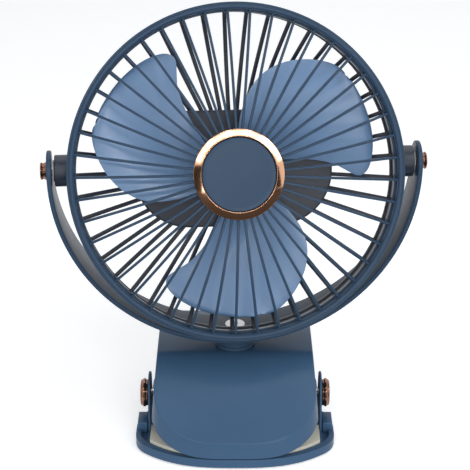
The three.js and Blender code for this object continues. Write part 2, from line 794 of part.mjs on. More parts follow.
function pivotScrew(side) {
  const inner = rimRadius - rimWall / 2 + pivotWall + gap;
  const seat = yokeRadius + gap;
  const geometry = turned([
    [0, inner], [pivotScrewRadius, inner], [pivotScrewRadius, seat], [pivotHeadRadius, seat],
    [pivotHeadRadius, seat + pivotHeadDepth], [0, seat + pivotHeadDepth],
  ], smallSides);
  return alongX(geometry).scale(side, 1, 1);
}

// A waisted cap with a dished end, pushed over the head of the tilt screw.
function pivotCap(side) {
  const from = yokeRadius + gap;
  const recess = from + pivotHeadDepth + gap;
  const to = recess + pivotCapEnd;
  const middle = (from + to) / 2;
  const bore = pivotHeadRadius + gap;
  const geometry = turned([
    [0, recess], [bore, recess], [bore, from], [pivotCapRadius, from], [pivotCapRadius, from + 0.6],
    [pivotCapRadius - pivotCapWaist / 2, middle - 0.3], [pivotCapRadius - pivotCapWaist / 2, middle + 0.3],
    [pivotCapRadius, to - 0.7], [pivotCapRadius - 0.5, to], [0, to - pivotCapDish],
  ], smallSides);
  return alongX(geometry).scale(side, 1, 1);
}

// ---------------------------------------------------------------- swivel, seen from the tilt axis

const plateUnder = clipHeight - upperPlate;

function swivelCollar() {
  const from = clipHeight + gap - pivotHeight;
  const to = from + collarHeight;
  const bore = swivelBoltRadius + runningGap;
  return upright(turnedRing([
    [bore, from], [collarRadius + collarFlange, from], [collarRadius + collarFlange, from + collarFoot],
    [collarRadius, from + collarFoot + 0.8], [collarRadius, to - 1], [collarRadius + collarFlange, to], [bore, to],
  ], discSides));
}

function swivelBolt() {
  const seat = -insideHoop(swivelHeadRadius) + gap;
  const end = plateUnder - 2 * gap - swivelWasherWall - swivelNutHeight - pivotHeight - swivelBoltEnd;
  const head = seat + swivelHeadDepth;
  const body = solid(upright(turned([
    [0, end], [swivelBoltRadius, end], [swivelBoltRadius, seat], [swivelHeadRadius, seat],
    [swivelHeadRadius, head - 1], [swivelHeadRadius - 1.4, head], [0, head],
  ], smallSides)));
  return body.subtract(solid(raised(hexagon(swivelKey), head - swivelKeyDepth, head + reach)));
}

function swivelWasher() {
  const top = plateUnder - gap - pivotHeight;
  const bore = swivelBoltRadius + runningGap;
  return upright(turnedRing([
    [bore, top - swivelWasherWall], [swivelWasherRadius, top - swivelWasherWall],
    [swivelWasherRadius, top], [bore, top],
  ], smallSides));
}

function swivelNut() {
  const top = plateUnder - 2 * gap - swivelWasherWall - pivotHeight;
  const hole = solid(upright(bar(swivelBoltRadius + runningGap / 2, top - swivelNutHeight - reach, top + reach)));
  return solid(raised(hexagon(swivelNutAcross), top - swivelNutHeight, top)).subtract(hole);
}

// ---------------------------------------------------------------- lower jaw

const lowerBottom = basePadProud;
const lowerRearHalfWidth = earInner + earWall;

// Outline from above: a wide rounded toe, drawn in at the shoulders to the width of the ears.
function lowerOutline(inset) {
  const toe = lowerArcRadius - inset;
  const half = lowerHalfWidth - inset;
  const rearHalf = lowerRearHalfWidth - inset;
  const cut = lowerCornerRadius - inset / 2;
  const meetX = half - cut / 2;
  const meetY = lowerArcCentre - Math.sqrt(toe * toe - meetX * meetX);
  const start = Math.atan2(meetY - lowerArcCentre, meetX);
  const rearCorner = lowerRearCorner - inset;
  const drawnIn = lowerShoulder + lowerHalfWidth - lowerRearHalfWidth + lowerCornerRadius;
  const right = [
    ...bend([meetX, meetY], [half, meetY + cut / 2], [half, meetY + cut]),
    ...bend([half, lowerShoulder - cut], [half, lowerShoulder], [(half + rearHalf) / 2, (lowerShoulder + drawnIn) / 2]),
    [rearHalf, drawnIn],
    ...arc(rearHalf - rearCorner, lowerRear - inset - rearCorner, rearCorner, 0, Math.PI / 2),
  ];
  const front = arc(0, lowerArcCentre, toe, Math.PI - start, 2 * Math.PI + start).slice(1, -1);
  return outline([...front, ...right, ...mirrored(right)]);
}

// One ear: a thin plate with a round top about the hinge, spread at its foot.
function ear(side) {
  const foot = lowerBottom + lowerFloor / 2;
  const shape = outline([
    [hingeY - earFoot, foot], [hingeY + earFoot, foot],
    ...arc(hingeY, hingeZ + earRise - earRound, earRound, Math.PI * 0.12, Math.PI * 0.88),
  ]);
  const from = side > 0 ? earInner : -earInner - earWall;
  return solid(sideways(shape, from, from + earWall));
}

function lowerJaw() {
  const floor = lowerBottom + lowerFloor;
  let body = solid(raised(lowerOutline(0), lowerBottom, lowerRimTop));
  const rearStep = [hingeY + earFoot + rearStepBehind, far];
  body = body.subtract(solid(box([-far, far], rearStep, [lowerRearTop, far])));
  const inside = solid(raised(lowerOutline(lowerRimWall), floor, lowerRimTop + reach));
  const toe = solid(box([-far, far], [-far, toePocketBack], [0, far]));
  const middleHalf = earInner - floorInset;
  const middle = solid(box([-middleHalf, middleHalf], [-far, lowerRear - lowerRimWall], [floor, far]));
  body = body.subtract(inside.intersect(toe)).subtract(inside.intersect(middle));
  for (const [, side] of sides) {
    const sill = side > 0 ? [earInner, earInner + earWall] : [-earInner - earWall, -earInner];
    body = body.add(ear(side));
    body = body.add(solid(box(sill, [hingeY - earSillLength, hingeY], [lowerBottom + 1, earSillTop])));
  }
  const pinHole = solid(alongX(bar(hingePinRadius + runningGap / 2, -far, far)).translate(0, hingeY, hingeZ));
  const padSeat = solid(raised(lowerOutline(basePadInset - gap), 0, basePadDepth + gap));
  return body.subtract(pinHole).subtract(padSeat);
}

function basePad() {
  return raised(lowerOutline(basePadInset), 0, basePadDepth);
}

// A crescent that follows the toe of the lower jaw: a ledge that shows beside the upper lip, and
// a ribbed working face inside it.
function lowerJawPad() {
  const from = lowerBottom + lowerFloor + gap;
  const outer = lowerArcRadius - lowerPadInset;
  const ends = [-Math.PI * 0.82, -Math.PI * 0.18];
  const crescent = (outside, inside, low, high) => solid(raised(outline([
    ...arc(0, lowerArcCentre, outside, ...ends),
    ...arc(0, lowerArcCentre, inside, ...ends).reverse(),
  ]), low, high));
  const half = padWidth / 2;
  const limit = solid(box([-half, half], [-far, toePocketBack - gap], [from - reach, lowerPadTop + reach]));
  const insideLip = solid(raised(upperOutline(upperWall + padClearance), lowerPadLedge - reach, far));
  const face = crescent(outer, outer - padBand, lowerPadLedge - reach, lowerPadTop).intersect(insideLip);
  let body = crescent(outer, outer - padBand, from, lowerPadLedge).add(face).intersect(limit);
  const pitch = padBand / (padGrooves + 1);
  for (let i = 1; i <= padGrooves; i += 1) {
    const middle = outer - i * pitch;
    const near = middle + padGrooveWidth / 2;
    body = body.subtract(crescent(near, near - padGrooveWidth, lowerPadTop - padGrooveDepth, far));
  }
  return body;
}

// A crescent along the inside of the upper lip, with ribs along its working face.
function upperJawPad() {
  const from = lowerPadTop + gap;
  const to = from + upperPadHeight;
  const start = upperWall + gap;
  const band = (near, deep, low, high) => solid(raised(upperOutline(near), low, high))
    .subtract(solid(raised(upperOutline(deep), low - reach, high + reach)));
  let body = band(start, start + padBand, from, to)
    .intersect(solid(box([-far, far], [-far, lipFront + upperPadLength], [from, to])));
  const pitch = padBand / (padGrooves + 1);
  for (let i = 1; i <= padGrooves; i += 1) {
    const near = start + i * pitch - padGrooveWidth / 2;
    body = body.subtract(band(near, near + padGrooveWidth, from - reach, from + padGrooveDepth));
  }
  return body;
}

// ---------------------------------------------------------------- upper jaw

const lipFront = lowerArcCentre - lowerArcRadius;
const handleSlope = (clipHeight - handleRearTop) / (handleRear - topHalfLength);

// How far back the toe has curved at a share of its half width.
const toeCurve = (share) => toeDepth * Math.abs(share) ** toePower;

// Outline from above: a curved toe, straight sides and a rounded handle.
function upperOutline(inset) {
  const half = upperHalfWidth - inset;
  const corner = handleCorner - inset;
  const right = arc(half - corner, handleRear - inset - corner, corner, 0, Math.PI / 2);
  const steps = 14;
  const toe = [];
  for (let i = -steps; i <= steps; i += 1) {
    toe.push([half * i / steps, lipFront + inset + toeCurve(i / steps)]);
  }
  return outline([...toe, ...right, ...mirrored(right)]);
}

// The space under the panel, which runs straight up from its curved foot at the lip to the
// front edge of the flat top. It is moved in square to the slope by the plate.
function underPanel(inset) {
  const crest = lipFront + panelRun;
  const steps = 30;
  const positions = [];
  for (let i = 0; i <= steps; i += 1) {
    const x = (2 * i / steps - 1) * (upperHalfWidth + 2 * reach);
    const foot = Math.min(lipFront + panelToeShare * toeCurve(x / upperHalfWidth), crest - 2 * reach);
    const slope = (clipHeight - lipTop) / (crest - foot);
    const across = Math.hypot(1, slope);
    const y = foot - reach + inset * slope / across;
    const z = lipTop - reach * slope - inset / across;
    const rise = 2 * reach + crest - foot;
    const section = [[y, -2 * reach], [y, z], [y + rise, z + rise * slope], [far, z + rise * slope], [far, -2 * reach]];
    for (const corner of section) positions.push(x, ...corner);
  }
  const faces = [0, 1, 2, 0, 2, 3, 0, 3, 4];
  for (let i = 0; i < steps; i += 1) {
    for (let j = 0; j < 5; j += 1) {
      const [a, b] = [5 * i + j, 5 * i + (j + 1) % 5];
      faces.push(a, a + 5, b + 5, a, b + 5, b);
    }
  }
  const last = 5 * steps;
  faces.push(last, last + 2, last + 1, last, last + 3, last + 2, last, last + 4, last + 3);
  const geometry = new THREE.BufferGeometry();
  geometry.setAttribute('position', new THREE.Float32BufferAttribute(positions, 3));
  geometry.setIndex(faces);
  return solid(geometry);
}

// Top line of the jaw behind the panel seen from the side, moved down by the plate.
function upperTopLine(down) {
  return [
    [lipFront - reach, clipHeight - down],
    [topHalfLength, clipHeight - down],
    [handleRear + reach, handleRearTop - handleSlope - down],
  ];
}

// Bottom edge of the side walls from the handle to the lip, with a lobe round the hinge.
function upperSkirtLine() {
  const lobe = [];
  for (let i = 0; i <= 6; i += 1) {
    const angle = (-10 - 140 * i / 6) * Math.PI / 180;
    lobe.push([hingeY + hingeLobeRadius * Math.cos(angle), hingeZ + hingeLobeRadius * Math.sin(angle)]);
  }
  return [
    [handleRear + reach, handleRearTop - handleSkirt],
    [topHalfLength + 4, clipHeight - 3 * handleSkirt / 2 - 2],
    ...lobe,
    [lipFront + mouthSideLength + mouthSideRise, mouthSideHeight + mouthSideRise],
    [lipFront + mouthSideLength, mouthSideHeight],
    [lipFront - reach, lipBottom],
  ];
}

// Draws the side walls in towards the top of the jaw.
function flared(body) {
  return body.warp((corner) => {
    corner[0] *= 1 - (corner[2] - flareHeight) * flarePerMillimetre;
  });
}

function upperJaw() {
  const outerSide = outline([...upperTopLine(0), ...upperSkirtLine()]);
  const outer = solid(raised(upperOutline(0), 0, far))
    .intersect(solid(sideways(outerSide, -far, far)))
    .intersect(underPanel(0));
  const floorLine = [[handleRear + reach, 0], [lipFront - reach, 0]];
  const innerSide = outline([...upperTopLine(upperPlate), ...floorLine]);
  const inner = solid(raised(upperOutline(upperWall), -reach, far))
    .intersect(solid(sideways(innerSide, -far, far)))
    .intersect(underPanel(upperPlate));
  const shelfUnder = lowerPadTop + gap + upperPadHeight + gap;
  const shelfTop = shelfUnder + shelfWall;
  const shelfLimit = solid(box([-far, far], [-far, lipFront + upperPadLength + reach], [shelfUnder, shelfTop]));
  const shelf = solid(raised(upperOutline(upperWall / 2), 0, far))
    .subtract(solid(raised(upperOutline(upperWall + gap + padBand + reach), -reach, far + reach)))
    .intersect(shelfLimit)
    .intersect(outer);
  const body = outer.subtract(inner).add(shelf);
  const pinHole = solid(alongX(bar(hingePinRadius + runningGap, -far, far)).translate(0, hingeY, hingeZ));
  const swivelHole = solid(upright(bar(swivelBoltRadius + runningGap, plateUnder - reach, clipHeight + reach)));
  return flared(body).subtract(pinHole).subtract(swivelHole);
}

// ---------------------------------------------------------------- hinge and springs

function hingePin() {
  const half = earInner + earWall + hingeCapDepth / 2;
  return alongX(bar(hingePinRadius, -half, half)).translate(0, hingeY, hingeZ);
}

// A round cap with a raised band round its middle, pushed over the end of the hinge pin.
function hingeCap(side) {
  const from = earInner + earWall + gap;
  const to = from + hingeCapDepth;
  const bore = hingePinRadius + gap;
  const recess = earInner + earWall + hingeCapDepth / 2 + gap;
  const middle = (from + to) / 2;
  const waist = hingeCapRadius - 0.7;
  const geometry = turned([
    [0, recess], [bore, recess], [bore, from], [waist, from], [waist, middle - hingeCapBand / 2],
    [hingeCapRadius, middle - hingeCapBand / 2 + 0.4], [hingeCapRadius, middle + hingeCapBand / 2],
    [waist, to - 0.4], [waist - 0.8, to], [waist * 0.5, to - 0.5], [0, to - 0.7],
  ], discSides);
  return alongX(geometry).scale(side, 1, 1).translate(0, hingeY, hingeZ);
}

// Line of a torsion spring: a straight leg on the floor of the lower jaw, the turns round the
// hinge pin, and a straight leg under the handle.
function springLine() {
  const points = [];
  const floor = lowerBottom + lowerFloor + springWire + gap;
  const underHandle = clipHeight - upperPlate - handleSlope * (springLegY - topHalfLength) - springWire - gap;
  const length = springTurns * springPitch;
  const legStart = -length / 2;
  const turnStep = 8;
  const tangent = (y, z, sense) => {
    const dy = y - hingeY;
    const dz = z - hingeZ;
    const distance = Math.hypot(dy, dz);
    return Math.atan2(dz, dy) + sense * Math.acos(springRadius / distance);
  };
  const first = tangent(springLegY, floor, -1);
  const last = tangent(springLegY, underHandle, 1);
  const full = 2 * Math.PI * springTurns;
  const sweep = -(full - ((last - first) % (2 * Math.PI)));
  const count = springTurns * turnStep;
  points.push(new THREE.Vector3(legStart, springLegY, floor));
  for (let i = 0; i <= count; i += 1) {
    const angle = first + sweep * i / count;
    points.push(new THREE.Vector3(
      legStart + length * i / count,
      hingeY + springRadius * Math.cos(angle),
      hingeZ + springRadius * Math.sin(angle)));
  }
  points.push(new THREE.Vector3(legStart + length, springLegY, underHandle));
  return points;
}

// A round wire along a line of points: a five-sided ring at each point, joined end to end.
function wire(points, radius) {
  const wireSides = 5;
  const positions = [];
  const faces = [];
  points.forEach((point, i) => {
    const before = points[Math.max(0, i - 1)];
    const after = points[Math.min(points.length - 1, i + 1)];
    const along = after.clone().sub(before).normalize();
    const across = new THREE.Vector3(1, 0, 0).addScaledVector(along, -along.x).normalize();
    const third = along.clone().cross(across);
    for (let j = 0; j < wireSides; j += 1) {
      const angle = 2 * Math.PI * j / wireSides;
      const corner = point.clone()
        .addScaledVector(across, radius * Math.cos(angle))
        .addScaledVector(third, radius * Math.sin(angle));
      positions.push(corner.x, corner.y, corner.z);
    }
  });
  const at = (i, j) => i * wireSides + j % wireSides;
  for (let i = 0; i + 1 < points.length; i += 1) {
    for (let j = 0; j < wireSides; j += 1) {
      faces.push(at(i, j), at(i, j + 1), at(i + 1, j + 1), at(i, j), at(i + 1, j + 1), at(i + 1, j));
    }
  }
  const last = points.length - 1;
  for (let j = 1; j + 1 < wireSides; j += 1) {
    faces.push(at(0, 0), at(0, j + 1), at(0, j), at(last, 0), at(last, j), at(last, j + 1));
  }
  const geometry = new THREE.BufferGeometry();
  geometry.setAttribute('position', new THREE.Float32BufferAttribute(positions, 3));
  geometry.setIndex(faces);
  return geometry;
}

// Least clear distance between the turns of the spring, from points a turn or more apart.
function springSelfGap(points) {
  let least = Infinity;
  for (let i = 1; i < points.length - 1; i += 1) {
    for (let j = i + 6; j < points.length - 1; j += 1) {
      least = Math.min(least, points[i].distanceTo(points[j]) - 2 * springWire);
    }
  }
  return least;
}

const springPoints = springLine();
console.log(`least gap between the turns of a spring: ${springSelfGap(springPoints).toFixed(2)} mm`);

function torsionSpring(side) {
  return closed(wire(springPoints, springWire)).clone().scale(side, 1, 1).translate(side * springCentre, 0, 0);
}

// ---------------------------------------------------------------- assembly

const fan = new THREE.Group();
const clip = new THREE.Group();
const swivelling = new THREE.Group();
const head = new THREE.Group();
const cage = new THREE.Group(); // all of the head that is measured from its own middle

swivelling.position.set(0, 0, pivotHeight);
swivelling.rotation.z = THREE.MathUtils.degToRad(restSwivel);
head.rotation.x = THREE.MathUtils.degToRad(-restTilt);
cage.position.set(0, 0, -headDrop);
head.add(cage);
swivelling.add(head);
fan.add(clip, swivelling);

clip.add(
  piece('lower_jaw', lowerJaw(), clipBlue),
  piece('base_pad', basePad(), footRubber),
  piece('lower_jaw_pad', lowerJawPad(), padRubber),
  piece('upper_jaw', upperJaw(), clipBlue),
  piece('upper_jaw_pad', upperJawPad(), padRubber),
  piece('hinge_pin', hingePin(), steel),
);
for (const [label, side] of sides) {
  clip.add(piece(`hinge_cap_${label}`, hingeCap(side), roseGold));
  clip.add(piece(`torsion_spring_${label}`, torsionSpring(side), springSteel));
}

swivelling.add(
  piece('yoke', yoke(), slate),
  piece('swivel_collar', swivelCollar(), slate),
  piece('swivel_bolt', swivelBolt(), steel),
  piece('swivel_washer', swivelWasher(), steel),
  piece('swivel_nut', swivelNut(), steel),
);
for (const [label, side] of sides) {
  swivelling.add(piece(`tilt_washer_${label}`, pivotWasher(side), nylon));
  head.add(piece(`tilt_screw_${label}`, pivotScrew(side), steel));
  head.add(piece(`tilt_cap_${label}`, pivotCap(side), roseGold));
}

cage.add(
  piece('front_grille', frontGrille(), slate),
  piece('hub_trim_ring', hubTrimRing(), roseGold),
  piece('hub_cap', hubCap(), slate),
  piece('rear_grille', rearGrille(), slateDark),
  piece('rear_cover', rearCover(), slate),
  piece('power_button', powerButton(), slateDark),
  piece('led_window', ledWindow(), lampClear),
  piece('usb_socket', usbSocket(), steel),
  piece('circuit_board', circuitBoard(), boardGreen),
  piece('battery_cell', batteryCell(), cellBlue),
  piece('motor_can', motorCan(), steel),
  piece('impeller', impeller(), bladeBlue),
  piece('motor_shaft', motorShaft(), steel),
  piece('impeller_nut', impellerNut(), steel),
);
coverScrewPlaces.forEach(([x, z], i) => {
  cage.add(piece(`cover_screw_${i + 1}`, coverScrew(x, z), steel));
});

export default fan;
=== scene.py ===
import bmesh
import bpy
import json
import math
from mathutils import Matrix, Vector


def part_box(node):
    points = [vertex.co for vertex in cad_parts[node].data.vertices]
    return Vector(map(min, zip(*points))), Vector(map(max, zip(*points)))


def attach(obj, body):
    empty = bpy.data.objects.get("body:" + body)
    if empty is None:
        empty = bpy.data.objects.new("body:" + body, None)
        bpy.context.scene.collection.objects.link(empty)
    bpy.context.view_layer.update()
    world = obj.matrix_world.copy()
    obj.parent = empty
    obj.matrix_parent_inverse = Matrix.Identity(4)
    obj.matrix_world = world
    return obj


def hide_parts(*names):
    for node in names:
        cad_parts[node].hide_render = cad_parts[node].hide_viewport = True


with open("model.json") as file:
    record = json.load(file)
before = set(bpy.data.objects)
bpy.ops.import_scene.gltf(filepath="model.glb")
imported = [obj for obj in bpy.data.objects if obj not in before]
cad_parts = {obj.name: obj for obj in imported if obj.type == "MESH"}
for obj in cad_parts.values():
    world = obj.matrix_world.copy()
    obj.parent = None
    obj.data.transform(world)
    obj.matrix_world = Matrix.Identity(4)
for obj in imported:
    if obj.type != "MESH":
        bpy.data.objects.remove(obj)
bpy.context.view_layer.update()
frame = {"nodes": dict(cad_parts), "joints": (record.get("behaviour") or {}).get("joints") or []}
mm = 0.001  # every size below is in millimetres
far = 120  # reaches past every piece of the clip and the yoke

joints = {joint["name"]: joint for joint in frame["joints"]}
tiltJoint = joints["head_tilt"]
pivotCentre = Vector(tiltJoint["pos_m"])
rightward = -Vector(tiltJoint["axis"]).normalized()
backward = -Vector(joints["impeller_spin"]["axis"]).normalized()


def placeFrom(right, back, centre):
    up = right.cross(back).normalized()
    turn = Matrix((right, back, up)).transposed().to_4x4()
    return Matrix.Translation(centre) @ turn


headCentre = Vector(joints["impeller_spin"]["pos_m"])
headPlace = placeFrom(rightward, backward, headCentre)  # X right, Y towards the back, Z up
tiltPlace = placeFrom(rightward, backward, pivotCentre)
yokePlace = placeFrom(rightward, Vector((0, 0, 1)).cross(rightward), pivotCentre)
clipPlace = Matrix.Identity(4)


def selectOnly(*pieces):
    bpy.ops.object.select_all(action="DESELECT")
    for piece in pieces:
        piece.select_set(True)
    bpy.context.view_layer.objects.active = pieces[0]


def addPrimitive(name, add, **settings):
    bpy.ops.object.select_all(action="DESELECT")
    add(**settings)
    piece = bpy.context.object
    piece.name = piece.data.name = name
    return piece


def traceLine(name, points, isClosed=True):
    # one vertex, extruded from point to point; the piece is left in edit mode
    piece = addPrimitive(name, bpy.ops.mesh.primitive_plane_add, size=mm)
    bpy.ops.object.mode_set(mode="EDIT")
    bpy.ops.mesh.select_all(action="SELECT")
    bpy.ops.mesh.merge(type="CENTER")
    bpy.ops.transform.translate(value=Vector(points[0]) * mm)
    path = list(points) + (list(points[:1]) if isClosed else [])
    for before, after in zip(path, path[1:]):
        step = (Vector(after) - Vector(before)) * mm
        bpy.ops.mesh.extrude_region_move(TRANSFORM_OT_translate={"value": step})
    bpy.ops.mesh.select_all(action="SELECT")
    bpy.ops.mesh.remove_doubles(threshold=0.005 * mm)
    return piece


def leaveEdit():
    bpy.ops.mesh.select_all(action="SELECT")
    bpy.ops.mesh.normals_make_consistent(inside=False)
    bpy.ops.object.mode_set(mode="OBJECT")


def extrudeOutline(name, points, run):
    piece = traceLine(name, points)
    bpy.ops.mesh.edge_face_add()
    bpy.ops.mesh.extrude_region_move(TRANSFORM_OT_translate={"value": Vector(run) * mm})
    leaveEdit()
    return piece


def fromAbove(name, outline, low, high):
    return extrudeOutline(name, [(x, y, low) for x, y in outline], (0, 0, high - low))


def fromSide(name, outline, start, end):
    return extrudeOutline(name, [(start, y, z) for y, z in outline], (end - start, 0, 0))


def fromFront(name, outline, start, end):
    return extrudeOutline(name, [(x, start, z) for x, z in outline], (0, end - start, 0))


def spinProfile(name, profile, steps, axis="Y", isClosed=True):
    # profile points are (radius, place along the axis)
    layouts = {"X": lambda r, a: (a, r, 0), "Y": lambda r, a: (r, a, 0), "Z": lambda r, a: (r, 0, a)}
    directions = {"X": (1, 0, 0), "Y": (0, 1, 0), "Z": (0, 0, 1)}
    piece = traceLine(name, [layouts[axis](r, a) for r, a in profile], isClosed)
    bpy.ops.mesh.spin(steps=steps, angle=2 * math.pi, center=(0, 0, 0), axis=directions[axis])
    bpy.ops.mesh.select_all(action="SELECT")
    bpy.ops.mesh.remove_doubles(threshold=0.01 * mm)
    leaveEdit()
    return piece


def addRod(name, radius, start, end, steps=32, axis="Y"):
    return spinProfile(name, [(0, start), (radius, start), (radius, end), (0, end)], steps, axis, False)


def addBlock(name, low, high):
    size = [(b - a) * mm for a, b in zip(low, high)]
    middle = [(a + b) / 2 * mm for a, b in zip(low, high)]
    piece = addPrimitive(name, bpy.ops.mesh.primitive_cube_add, size=1)
    piece.data.transform(Matrix.Translation(middle) @ Matrix.Diagonal((*size, 1)))
    return piece


def applyModifier(piece, kind, **settings):
    modifier = piece.modifiers.new(kind.lower(), kind)
    for key, value in settings.items():
        setattr(modifier, key, value)
    selectOnly(piece)
    bpy.ops.object.modifier_apply(modifier=modifier.name)


def combine(piece, tool, operation):
    applyModifier(piece, "BOOLEAN", operation=operation, solver="EXACT", object=tool)
    bpy.data.objects.remove(tool)
    return piece


def soften(piece, width, segments=3, angle=32, isClamped=True):
    applyModifier(piece, "BEVEL", width=width * mm, segments=segments, limit_method="ANGLE",
                  angle_limit=math.radians(angle), miter_outer="MITER_ARC", use_clamp_overlap=isClamped)
    return piece


def softenEdges(piece, width, segments, isPicked):
    # rounds only those folded edges that isPicked names
    mesh = bmesh.new()
    mesh.from_mesh(piece.data)
    layers = mesh.edges.layers.float
    layer = layers.get("bevel_weight_edge") or layers.new("bevel_weight_edge")
    for edge in mesh.edges:
        isFold = len(edge.link_faces) == 2 and edge.is_convex and edge.calc_face_angle() > math.radians(16)
        edge[layer] = 1 if isFold and isPicked(edge) else 0
    mesh.to_mesh(piece.data)
    mesh.free()
    applyModifier(piece, "BEVEL", width=width * mm, segments=segments, limit_method="WEIGHT",
                  miter_outer="MITER_SHARP", use_clamp_overlap=False)


def tidyFaces(piece):
    # joins the flat fragments that cutting leaves, so that a bevel runs clean
    selectOnly(piece)
    bpy.ops.object.mode_set(mode="EDIT")
    bpy.ops.mesh.select_all(action="SELECT")
    bpy.ops.mesh.remove_doubles(threshold=0.1 * mm)
    bpy.ops.mesh.dissolve_limited(angle_limit=0.01)
    leaveEdit()


def smoothShade(piece, angle=34):
    selectOnly(piece)
    bpy.ops.object.shade_smooth_by_angle(angle=math.radians(angle))


def joinPieces(pieces):
    selectOnly(*pieces)
    bpy.ops.object.join()
    return pieces[0]


def ringOfCopies(piece, count, firstTurn):
    copies = [piece]
    for i in range(1, count):
        selectOnly(piece)
        bpy.ops.object.duplicate()
        copies.append(bpy.context.object)
    for i, copy in enumerate(copies):
        copy.data.transform(Matrix.Rotation(firstTurn + 2 * math.pi * i / count, 4, "Y"))
    return joinPieces(copies)


def dress(piece, material, angle):
    piece.data.materials.clear()
    piece.data.materials.append(material)
    smoothShade(piece, angle)


def settle(piece, place, body, material, nodes, angle=34):
    # puts a finished piece in its place in the frame and dresses it
    piece.data.transform(place)
    dress(piece, material, angle)
    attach(piece, body)
    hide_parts(*nodes)


def arc(x, y, radius, start, end, steps):
    angles = [start + (end - start) * i / steps for i in range(steps + 1)]
    return [(x + radius * math.cos(a), y + radius * math.sin(a)) for a in angles]


def bend(start, corner, end, steps=8):
    points = []
    for i in range(steps + 1):
        t = i / steps
        weights = ((1 - t) ** 2, 2 * t * (1 - t), t ** 2)
        points.append(tuple(sum(w * p[k] for w, p in zip(weights, (start, corner, end))) for k in (0, 1)))
    return points


def mirrored(points):
    return [(-x, y) for x, y in reversed(points)]


def roundedRectangle(width, height, corner, steps=10, middle=(0, 0)):
    x, y = width / 2 - corner, height / 2 - corner
    quarter = math.pi / 2
    points = []
    for i, (sx, sy) in enumerate(((1, -1), (1, 1), (-1, 1), (-1, -1))):
        points += arc(middle[0] + sx * x, middle[1] + sy * y, corner, (i - 1) * quarter, i * quarter, steps)
    return points


class Signal:
    def __init__(self, tree, socket=None):
        self.tree = tree
        self.socket = socket

    def make(self, kind, settings=None, inputs=None, output=0):
        node = self.tree.nodes.new(kind)
        for key, value in (settings or {}).items():
            if key == "stops":
                ramp = node.color_ramp
                while len(ramp.elements) < len(value):
                    ramp.elements.new(0.5)
                for element, (place, colour) in zip(ramp.elements, value):
                    element.position = place
                    element.color = colour
            else:
                setattr(node, key, value)
        for key, value in (inputs or {}).items():
            if isinstance(value, Signal):
                self.tree.links.new(value.socket, node.inputs[key])
            else:
                node.inputs[key].default_value = value
        return Signal(self.tree, node.outputs[output])

    def maths(self, operation, first, second):
        return self.make("ShaderNodeMath", {"operation": operation}, {0: first, 1: second})

    def __add__(self, other):
        return self.maths("ADD", self, other)

    __radd__ = __add__

    def __sub__(self, other):
        return self.maths("SUBTRACT", self, other)

    def __rsub__(self, other):
        return self.maths("SUBTRACT", other, self)

    def __mul__(self, other):
        return self.maths("MULTIPLY", self, other)

    __rmul__ = __mul__

    def over(self, low, high):  # 0 below low, 1 above high
        return self.make("ShaderNodeMapRange", {}, {"Value": self, "From Min": low, "From Max": high})


def newMaterial(name):
    material = bpy.data.materials.new(name)
    material.use_nodes = True
    return material, Signal(material.node_tree).make("ShaderNodeTexCoord", output="Object")


def setShader(material, values):
    tree = material.node_tree
    shader = next(node for node in tree.nodes if node.type == "BSDF_PRINCIPLED")
    for key, value in values.items():
        if isinstance(value, Signal):
            tree.links.new(value.socket, shader.inputs[key])
        else:
            shader.inputs[key].default_value = value
    return material


def noise(place, scale, detail=3.0, roughness=0.55):
    return place.make("ShaderNodeTexNoise", {}, {
        "Vector": place, "Scale": scale, "Detail": detail, "Roughness": roughness})


def bump(height, strength, distance):
    return height.make("ShaderNodeBump", {}, {"Strength": strength, "Distance": distance, "Height": height})


def tint(amount, dark, light):
    return amount.make("ShaderNodeMix", {"data_type": "RGBA"}, {
        "Factor": amount, 6: (*dark, 1), 7: (*light, 1)}, output=2)


def shade(amount, colour, low, high):
    # the colour darkened to low and lightened to high
    return tint(amount, *(tuple(min(1, c * factor) for c in colour) for factor in (low, high)))


def mouldedPlastic(name, colour, roughness, grain=0.05, coat=0.0, reflection=0.5):
    # fine spark texture from the mould, faint flow clouds and handling marks in the gloss
    material, place = newMaterial(name)
    spark = noise(place, 2300, 2)
    marks = noise(place, 210, 5, 0.7)
    return setShader(material, {
        "Base Color": shade(noise(place, 38, 4), colour, 0.9, 1.1),
        "Roughness": roughness + (marks.over(0.35, 0.75) - 0.5) * 0.09 + (spark - 0.5) * 0.05,
        "Normal": bump(spark + marks * 0.3, grain, 0.0002),
        "Specular IOR Level": reflection,
        "Coat Weight": coat,
        "Coat Roughness": 0.12,
    })


def platedMetal(name, colour, roughness):
    material, place = newMaterial(name)
    haze = noise(place, 90, 4)
    return setShader(material, {
        "Base Color": shade(haze, colour, 0.93, 1.05),
        "Roughness": roughness + (haze - 0.5) * 0.08,
        "Metallic": 1.0,
        "Normal": bump(noise(place, 420, 2), 0.04, 0.0003),
    })


def brushedSteel(name, colour, roughness, stretch=(60, 60, 900)):
    material, place = newMaterial(name)
    along = place.make("ShaderNodeMapping", {}, {"Vector": place, "Scale": stretch})
    lines = noise(along, 6, 3)
    return setShader(material, {
        "Base Color": shade(lines, colour, 0.82, 1.08),
        "Roughness": roughness + (lines - 0.5) * 0.2,
        "Metallic": 1.0,
        "Normal": bump(lines, 0.12, 0.0001),
    })


def softRubber(name, colour, roughness):
    material, place = newMaterial(name)
    grain = noise(place, 1500, 3)
    return setShader(material, {
        "Base Color": shade(noise(place, 60, 4), colour, 0.86, 1.08),
        "Roughness": roughness + (grain - 0.5) * 0.16,
        "Normal": bump(grain, 0.22, 0.0002),
    })


